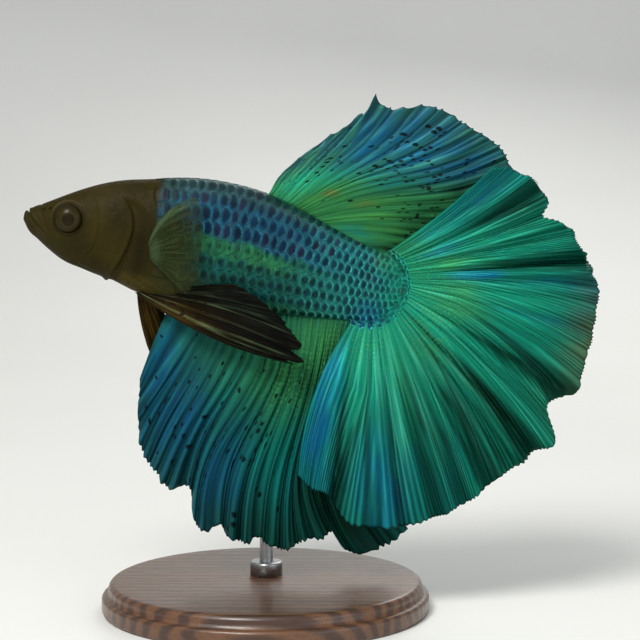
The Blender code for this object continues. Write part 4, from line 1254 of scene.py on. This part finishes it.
def layTree():
    tree = bpy.data.node_groups.new("layScales", "GeometryNodeTree")
    sockets = {}
    for key, kind in (
        ("Roots", "Geometry"), ("Plate", "Object"), ("Skin", "Object"), ("Fan", "Object"), ("Rise", "Float"),
        ("Lift", "Float"), ("Twist", "Float"), ("Seed", "Int"), ("Finish", "Material"),
    ):
        socket = tree.interface.new_socket(name=key, in_out="INPUT", socket_type=f"NodeSocket{kind}")
        sockets[key] = socket.identifier
    tree.interface.new_socket(name="Scales", in_out="OUTPUT", socket_type="NodeSocketGeometry")
    given = tree.nodes.new("NodeGroupInput").outputs
    out = tree.nodes.new("NodeGroupOutput").inputs

    def node(kind, values):
        made = tree.nodes.new(kind)
        for key, value in values.items():
            feed(tree, value, next(s for s in made.inputs if s.name == key and s.enabled))
        return made

    def named(key, kind="FLOAT_VECTOR"):
        made = tree.nodes.new("GeometryNodeInputNamedAttribute")
        made.data_type = kind
        made.inputs["Name"].default_value = key
        return made.outputs["Attribute"]

    def shapeOf(key):
        return node("GeometryNodeObjectInfo", {"Object": given[key]}).outputs["Geometry"]

    under = tree.nodes.new("GeometryNodeJoinGeometry")
    for key in ("Skin", "Fan"):
        feed(tree, shapeOf(key), under.inputs[0])
    under = under.outputs[0]
    turn = node("FunctionNodeRandomValue", {
        "Min": times(tree, given["Twist"], -1.0), "Max": given["Twist"], "Seed": given["Seed"],
    })
    spin = joined(tree, 0.0, 0.0, next(s for s in turn.outputs if s.enabled))
    lie = node("FunctionNodeEulerToRotation", {"Euler": named("lie")}).outputs[0]
    spin = node("FunctionNodeEulerToRotation", {"Euler": spin}).outputs[0]
    facing = node("FunctionNodeRotateRotation", {"Rotation": lie, "Rotate By": spin})
    facing.rotation_space = "LOCAL"
    laid = node("GeometryNodeInstanceOnPoints", {
        "Points": given["Roots"], "Instance": shapeOf("Plate"), "Rotation": facing.outputs[0],
        "Scale": named("size"),
    })
    real = node("GeometryNodeRealizeInstances", {"Geometry": laid.outputs[0]})
    nearest = node("GeometryNodeProximity", {"Geometry": under})
    outward = tree.nodes.new("GeometryNodeSampleNearestSurface")
    outward.data_type = "FLOAT_VECTOR"
    feed(tree, under, outward.inputs["Mesh"])
    normal = tree.nodes.new("GeometryNodeInputNormal").outputs[0]
    feed(tree, normal, next(s for s in outward.inputs if s.name == "Value" and s.enabled))
    tall = times(tree, given["Rise"], named("stand", "FLOAT"))
    high = calc(tree, "MULTIPLY_ADD", parts(tree, named("plateShare"))[2], tall, given["Lift"])
    lifted = scaled(tree, outward.outputs["Value"], high)
    ground = vectorCalc(tree, "ADD", nearest.outputs["Position"], lifted)
    moved = node("GeometryNodeSetPosition", {"Geometry": real.outputs[0], "Position": ground})
    painted = node("GeometryNodeSetMaterial", {"Geometry": moved.outputs[0], "Material": given["Finish"]})
    feed(tree, painted.outputs[0], out[0])
    return tree, sockets


def scaleFinish():
    material, tree, shader = newFinish("bettaScales", {"Specular IOR Level": 0.07})
    where = place(tree)
    spots = useGroup(tree, mottle, {"Place": where, "Patch": 0.6, "Grain": 4.5})
    share = attribute(tree, "plateShare", "Vector")
    along, across = parts(tree, share)[:2]
    spotSize, paleShare, dotShare = parts(tree, attribute(tree, "cellMarks", "Vector"))
    middle, rimPaint = attribute(tree, "middlePaint"), attribute(tree, "rimPaint")
    aside = calc(tree, "ABSOLUTE", times(tree, minus(tree, across, 0.5), 2.0))
    wobble = times(tree, minus(tree, noise(tree, where, 2.4, 3.0), 0.5), 0.3)
    along = plus(tree, along, wobble)
    edge = calc(tree, "MAXIMUM", along, plus(tree, times(tree, aside, 1.04), wobble))
    worn = span(tree, noise(tree, where, 1.3, 2.0), 0.35, 0.6, 0.4, 1.0)
    rim = times(tree, span(tree, edge, 0.89, 0.97), worn)

    def mask(centre, shape, size, low, high):
        away = vectorCalc(tree, "LENGTH", stretched(tree, vectorCalc(tree, "SUBTRACT", share, centre), shape))
        return fade(tree, plus(tree, calc(tree, "DIVIDE", away, size), wobble), low, high)

    core = mask((0.72, 0.5, 0.0), (3.0, 1.5, 0.0), spotSize, 0.3, 0.85)
    colour = tint(tree, 0.36, middle, rimPaint)
    colour = tint(tree, core, colour, tint(tree, 1.0, middle, (0.6, 0.62, 0.68), "MULTIPLY"))
    tall = noise(tree, stretched(tree, where, (1.7, 1.7, 0.5)), 1.0, 3.0, 0.6)
    streak = span(tree, tall, 0.3, 0.7, 0.72, 1.28)
    colour = tint(tree, times(tree, rim, 0.85), scaled(tree, colour, streak), rimPaint)
    dot = times(tree, mask((0.58, 0.5, 0.0), (7.0, 3.4, 0.0), 1.0, 0.25, 0.7), dotShare, 0.75)
    colour = tint(tree, dot, colour, paints["black"])
    crescent = times(tree, span(tree, along, 0.91, 0.98), fade(tree, aside, 0.3, 0.95), paleShare, 0.75)
    colour = tint(tree, crescent, colour, tint(tree, 1.0, rimPaint, (1.7, 1.6, 1.5), "MULTIPLY"))
    colour = filtered(tree, times(tree, spots["Patches"], 0.3), colour, (0.7, 0.85, 0.8))
    relief(tree, shader, plus(tree, spots["Grains"], streak), 0.012)
    plug(tree, shader, {
        "Base Color": colour,
        "Roughness": spread(tree, spots["Grains"], 0.38, 0.52),
        "Metallic": times(tree, rim, 0.25),
    })
    return material


def makeScales():
    lay = scaleLay
    here, ahead, around, room, flat, stand = (
        np.concatenate(pair) for pair in zip(flankRoots(), tailRoots())
    )
    origin = toFrame(np.zeros(3))
    ahead, around = toFrame(ahead) - origin, toFrame(around) - origin
    outward = np.cross(around, ahead)
    ahead /= np.linalg.norm(ahead, axis=1, keepdims=True)
    outward /= np.linalg.norm(outward, axis=1, keepdims=True)
    across = np.cross(outward, ahead)
    dice = np.random.default_rng(lay["seed"])
    vary = 1 + lay["vary"] * dice.standard_normal((len(here), 2))
    mesh = bpy.data.meshes.new("scaleRoots")
    mesh.from_pydata(toFrame(here).tolist(), [], [])
    lies = [Matrix(np.stack(axes, axis=1)).to_euler() for axes in zip(ahead, across, outward)]
    addAttribute(mesh, "lie", np.array([tuple(lie) for lie in lies]))
    size = room * vary * (lay["overlap"], lay["wide"])
    addAttribute(mesh, "size", np.column_stack([size, room[:, 1]]) * mm)
    addAttribute(mesh, "stand", stand)
    addAttribute(mesh, "plateDice", dice.uniform(0, 1, (len(here), 3)))
    addAttribute(mesh, "rootPlace", np.column_stack([flat, 0 * stand]))
    piece = bpy.data.objects.new("fishScales", mesh)
    bpy.context.scene.collection.objects.link(piece)
    tree, sockets = layTree()
    layer = piece.modifiers.new("layScales", "NODES")
    layer.node_group = tree
    single = makePlate()
    values = {
        "Plate": single, "Skin": skin, "Fan": fins["tailFan"], "Rise": lay["rise"] * mm,
        "Lift": lay["lift"] * mm, "Twist": lay["twist"], "Seed": lay["seed"], "Finish": scaleFinish(),
    }
    for key, value in values.items():
        layer[sockets[key]] = value
    graph = bpy.context.evaluated_depsgraph_get()
    whole = bpy.data.meshes.new_from_object(
        piece.evaluated_get(graph), preserve_all_data_layers=True, depsgraph=graph,
    )
    piece.modifiers.remove(layer)
    piece.data = whole
    whole.name = "fishScales"
    bpy.data.objects.remove(single)
    whole.shade_smooth()

    def read(key):
        values = np.zeros(len(whole.vertices) * 3, np.float32)
        whole.attributes[key].data.foreach_get("vector", values)
        return values.reshape(-1, 3).astype(float)

    x, z = toFish(read("position"))
    luck = read("plateDice")
    middle, rim, marks = coatPaint(x, z)
    upper = ease(z - 0.5 + 0.06 * (x - 20), 0, 1) * neckShare(x, z)
    middle = wash(middle, "plum", 0.42 * ease(luck[:, 0], 0.72, 0.95) * upper)
    marks[:, 0] *= 0.85 + 0.3 * luck[:, 2]
    addAttribute(whole, "middlePaint", middle * (0.75 + 0.5 * luck[:, 1:2]))
    addAttribute(whole, "rimPaint", rim * (0.85 + 0.3 * luck[:, 2:3]))
    addAttribute(whole, "cellMarks", marks)
    flat = read("rootPlace")[:, :2] + lay["patch"] * (read("plateShare")[:, :2] - 0.5)
    order = np.zeros(len(whole.loops), np.int32)
    whole.loops.foreach_get("vertex_index", order)
    whole.uv_layers.new(name="OFBake").data.foreach_set("uv", flat[order].astype(np.float32).ravel())
    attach(piece, "root")
    print("scales", len(here), "plates", len(whole.polygons), "faces")


makeScales()


# Eyes: a dark pupil in a brown iris, with a dull ring between them

def eyeFinish():
    material, tree, shader = newFinish(
        "wetEye", {"Roughness": 0.4, "Coat Weight": 0.1, "Coat Roughness": 0.04, "Specular IOR Level": 0.06},
    )
    centre = (eyeMid.x / mm, 0.0, eyeMid.z / mm)
    flat = stretched(tree, vectorCalc(tree, "SUBTRACT", place(tree), centre), (1.0, 0.0, 1.0))
    out = vectorCalc(tree, "LENGTH", flat)  # millimetres from the middle of the pupil
    fibre = noise(tree, flat, 3.0, 3.0, 0.6)
    ring = times(tree, span(tree, out, *eye["ring"][:2]), fade(tree, out, *eye["ring"][2:]), 0.35)
    colour = tint(tree, span(tree, fibre, 0.3, 0.7), rgb(36, 31, 8), rgb(46, 40, 12))
    colour = tint(tree, ring, colour, rgb(66, 54, 20))
    colour = tint(tree, fade(tree, out, *eye["pupil"]), colour, rgb(28, 23, 6))
    colour = tint(tree, span(tree, out, *eye["outer"]), colour, rgb(34, 29, 8))
    feed(tree, colour, shader.inputs["Base Color"])
    return material


def makeEyes():
    finish = eyeFinish()
    long, deep, tall = eye["radii"]
    for word in ("left", "right"):
        low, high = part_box(f"eye_{word}")
        turn = np.linspace(0, math.pi, eye["rings"])[1:-1]
        around = np.linspace(0, fullTurn, eye["sides"] + 1)
        ring = np.sin(turn)[:, None]
        out = np.stack([
            ring * np.cos(around[None, :-1]) * long,
            np.broadcast_to(-np.cos(turn)[:, None] * deep, (len(turn), eye["sides"])),
            -ring * np.sin(around[None, :-1]) * tall,
        ], -1)
        every, faces = ringGrid(out, np.array([0, -deep, 0]), np.array([0, deep, 0]))
        points = np.array((low + high) / 2) + every * mm
        piece = newPiece(f"{word}Eye", points, faces, finish, ringMap(turn / math.pi, around / fullTurn))
        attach(piece, "root")
        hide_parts(f"eye_{word}")


makeEyes()
print("eyes")


# Stand: a turned walnut base with a steel rod and collar, in millimetres

stand = {
    "baseSides": 160,
    "rodSides": 64,
    "rodRings": 40,
    "foot": ((0.5, 0.0), (0.12, 0.15), (0.0, 0.5)),  # in from the widest radius, and up
    "step": 0.45,  # height of the lower part, as a share of the whole
    "lowerRound": 0.54,
    "groove": (0.855, 0.02),  # in from the widest radius, and up from the lower part
    "ledge": 0.9,
    "upperRound": (0.81, 0.855),
    "topRings": (0.85, 0.6, 0.35, 0.15),
    "collarBevel": 0.25,
}


def turned(name, spot, profile, sides, material, node):  # lathe work over rows of (radius, height)
    around = np.linspace(0, fullTurn, sides + 1)[None, :-1]
    radius, height = np.array(profile).T
    points = np.stack([
        spot[0] + radius[:, None] * np.cos(around),
        spot[1] + radius[:, None] * np.sin(around),
        np.broadcast_to(height[:, None], (len(radius), sides)),
    ], -1)
    every, faces = ringGrid(points, np.array([*spot, height[0]]), np.array([*spot, height[-1]]))
    piece = newPiece(name, every, [face[::-1] for face in faces], material)
    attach(piece, "root")
    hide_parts(node)


def rounded(radius, height, wide, tall):  # a quarter round below and inside this radius and height
    turns = np.radians(np.arange(0, 91, 10))
    return [(radius - wide + wide * math.cos(a), height - tall + tall * math.sin(a)) for a in turns]


def woodFinish():
    material, tree, shader = newFinish(
        "walnut", {"Specular IOR Level": 0.5, "Coat Weight": 0.35, "Coat Roughness": 0.18},
    )
    where = place(tree)
    rings = tree.nodes.new("ShaderNodeTexWave")
    rings.wave_type = "BANDS"
    rings.bands_direction = "Y"
    plug(tree, rings, {
        "Vector": stretched(tree, where, (0.03, 0.34, 0.34)),
        "Scale": 0.5, "Distortion": 9.0, "Detail": 4.0, "Detail Scale": 0.8,
    })
    pores = noise(tree, stretched(tree, where, (0.3, 5.0, 5.0)), 1.0, 3.0, 0.6)
    colour = tint(tree, span(tree, rings.outputs["Fac"], 0.1, 0.9), rgb(66, 42, 28), rgb(104, 69, 43))
    colour = tint(tree, span(tree, pores, 0.5, 0.75, 0.0, 0.7), colour, rgb(36, 22, 15))
    plug(tree, shader, {"Base Color": colour, "Roughness": span(tree, pores, 0.3, 0.8, 0.34, 0.52)})
    relief(tree, shader, minus(tree, 1.0, pores), 0.04)
    return material


def steelFinish():
    material, tree, shader = newFinish("brushedSteel", {"Metallic": 1.0, "Specular IOR Level": 0.5})
    brush = noise(tree, stretched(tree, place(tree), (1.0, 1.0, 14.0)), 2.0, 3.0, 0.6)
    colour = tint(tree, brush, rgb(128, 130, 132), rgb(188, 190, 192))
    plug(tree, shader, {"Base Color": colour, "Roughness": span(tree, brush, 0.3, 0.7, 0.24, 0.42)})
    relief(tree, shader, brush, 0.01)
    return material


def measured(node):  # place on the ground, radius and top of a round node
    low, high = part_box(node)
    return ((low.x + high.x) / 2, (low.y + high.y) / 2), (high.x - low.x) / 2, high.z


def makeStand():
    spot, radius, top = measured("stand_base")
    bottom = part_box("stand_base")[0].z
    shoulder = bottom + stand["step"] * (top - bottom)
    lowerRound = stand["lowerRound"] * mm
    profile = [(radius - inward * mm, bottom + up * mm) for inward, up in stand["foot"]]
    profile += rounded(radius, shoulder + lowerRound, lowerRound, lowerRound)
    inward, up = stand["groove"]
    profile += [(radius - inward * mm, shoulder + lowerRound + up * mm)]
    profile += rounded(radius - stand["ledge"] * mm, top, *(size * mm for size in stand["upperRound"]))
    profile += [(radius * share, top) for share in stand["topRings"]]
    turned("standBase", spot, profile, stand["baseSides"], woodFinish(), "stand_base")
    steel = steelFinish()
    spot, rod, rodTop = measured("stand_rod")
    heights = np.linspace(top - 0.5 * mm, rodTop + 0.2 * mm, stand["rodRings"])
    profile = [(rod, height) for height in heights]
    turned("standRod", spot, profile, stand["rodSides"], steel, "stand_rod")
    spot, wide, tall = measured("stand_collar")
    bevel = stand["collarBevel"] * mm
    profile = [(wide, top - 0.05 * mm), *rounded(wide, tall, bevel, bevel)]
    profile += [(rod + 0.12 * mm, tall), (rod * 0.6, tall - 0.02 * mm)]
    turned("standCollar", spot, profile, stand["rodSides"], steel, "stand_collar")


makeStand()
print("stand")


# Floor, light and camera

studio = {
    "lens": 100,
    "distance": 0.237,
    "elevation": 4.5,
    "target": (0.0073, 0.0, 0.03897),
    "lights": (  # name, place, width, watts, colour
        ("key", (-0.16, -0.34, 0.42), 0.22, 2.6, (1.0, 0.985, 0.95)),
        ("fill", (0.42, -0.34, 0.14), 0.4, 0.6, (0.9, 0.96, 1.0)),
        ("rim", (0.1, 0.4, 0.34), 0.3, 0.8, (1.0, 1.0, 0.96)),
    ),
    "sky": ((0.93, 0.96, 1.0), 0.42),
    "floorFront": -1.6,
    "floorRear": 0.3,  # where the floor starts to curve up
    "curve": 0.4,
    "halfWidth": 2.4,
}


def setDown(thing, spot):  # sets a lamp or camera down, turned to the middle of the model
    obj = bpy.data.objects.new(thing.name, thing)
    obj.location = spot
    obj.rotation_euler = (Vector(studio["target"]) - Vector(spot)).to_track_quat("-Z", "Y").to_euler()
    bpy.context.scene.collection.objects.link(obj)
    return obj


def makeStage():
    floor, tree, shader = newFinish("paleFloor", {"Roughness": 0.8, "Specular IOR Level": 0.2})
    cloud = noise(tree, place(tree), 0.01, 2.0)
    feed(tree, tint(tree, cloud, rgb(226, 226, 222), rgb(234, 234, 231)), shader.inputs["Base Color"])
    rear, curve = studio["floorRear"], studio["curve"]
    bends = np.radians(range(0, 91, 6))
    depth = [(studio["floorFront"] + 0.1 * i, 0.0) for i in range(20)]
    depth += [(rear + curve * math.sin(a), curve - curve * math.cos(a)) for a in bends]
    depth += [(rear + curve, curve + 0.2 * i) for i in range(1, 9)]
    across = np.linspace(-studio["halfWidth"], studio["halfWidth"], 25)
    points = np.array([[(x, y, z) for x in across] for y, z in depth])
    index = np.arange(points.shape[0] * 25).reshape(-1, 25)
    sweep = newPiece("studioSweep", points, corners(index, True).tolist(), floor)
    for name, spot, width, watts, colour in studio["lights"]:
        lamp = bpy.data.lights.new(name, "AREA")
        lamp.shape = "DISK"
        lamp.size = width
        lamp.energy = watts
        lamp.color = colour
        setDown(lamp, spot)
    world = bpy.data.worlds.new("studio")
    world.use_nodes = True
    colour, strength = studio["sky"]
    sky = world.node_tree.nodes["Background"]
    plug(world.node_tree, sky, {"Color": colour, "Strength": strength})
    bpy.context.scene.world = world
    bpy.context.scene.view_settings.view_transform = "Standard"


def makeCamera():
    data = bpy.data.cameras.new("camera")
    data.lens = studio["lens"]
    data.clip_start = 0.01
    lift = math.radians(studio["elevation"])
    back = Vector((0, -math.cos(lift), math.sin(lift))) * studio["distance"]
    bpy.context.scene.camera = setDown(data, Vector(studio["target"]) + back)


makeStage()
makeCamera()
print("stage")
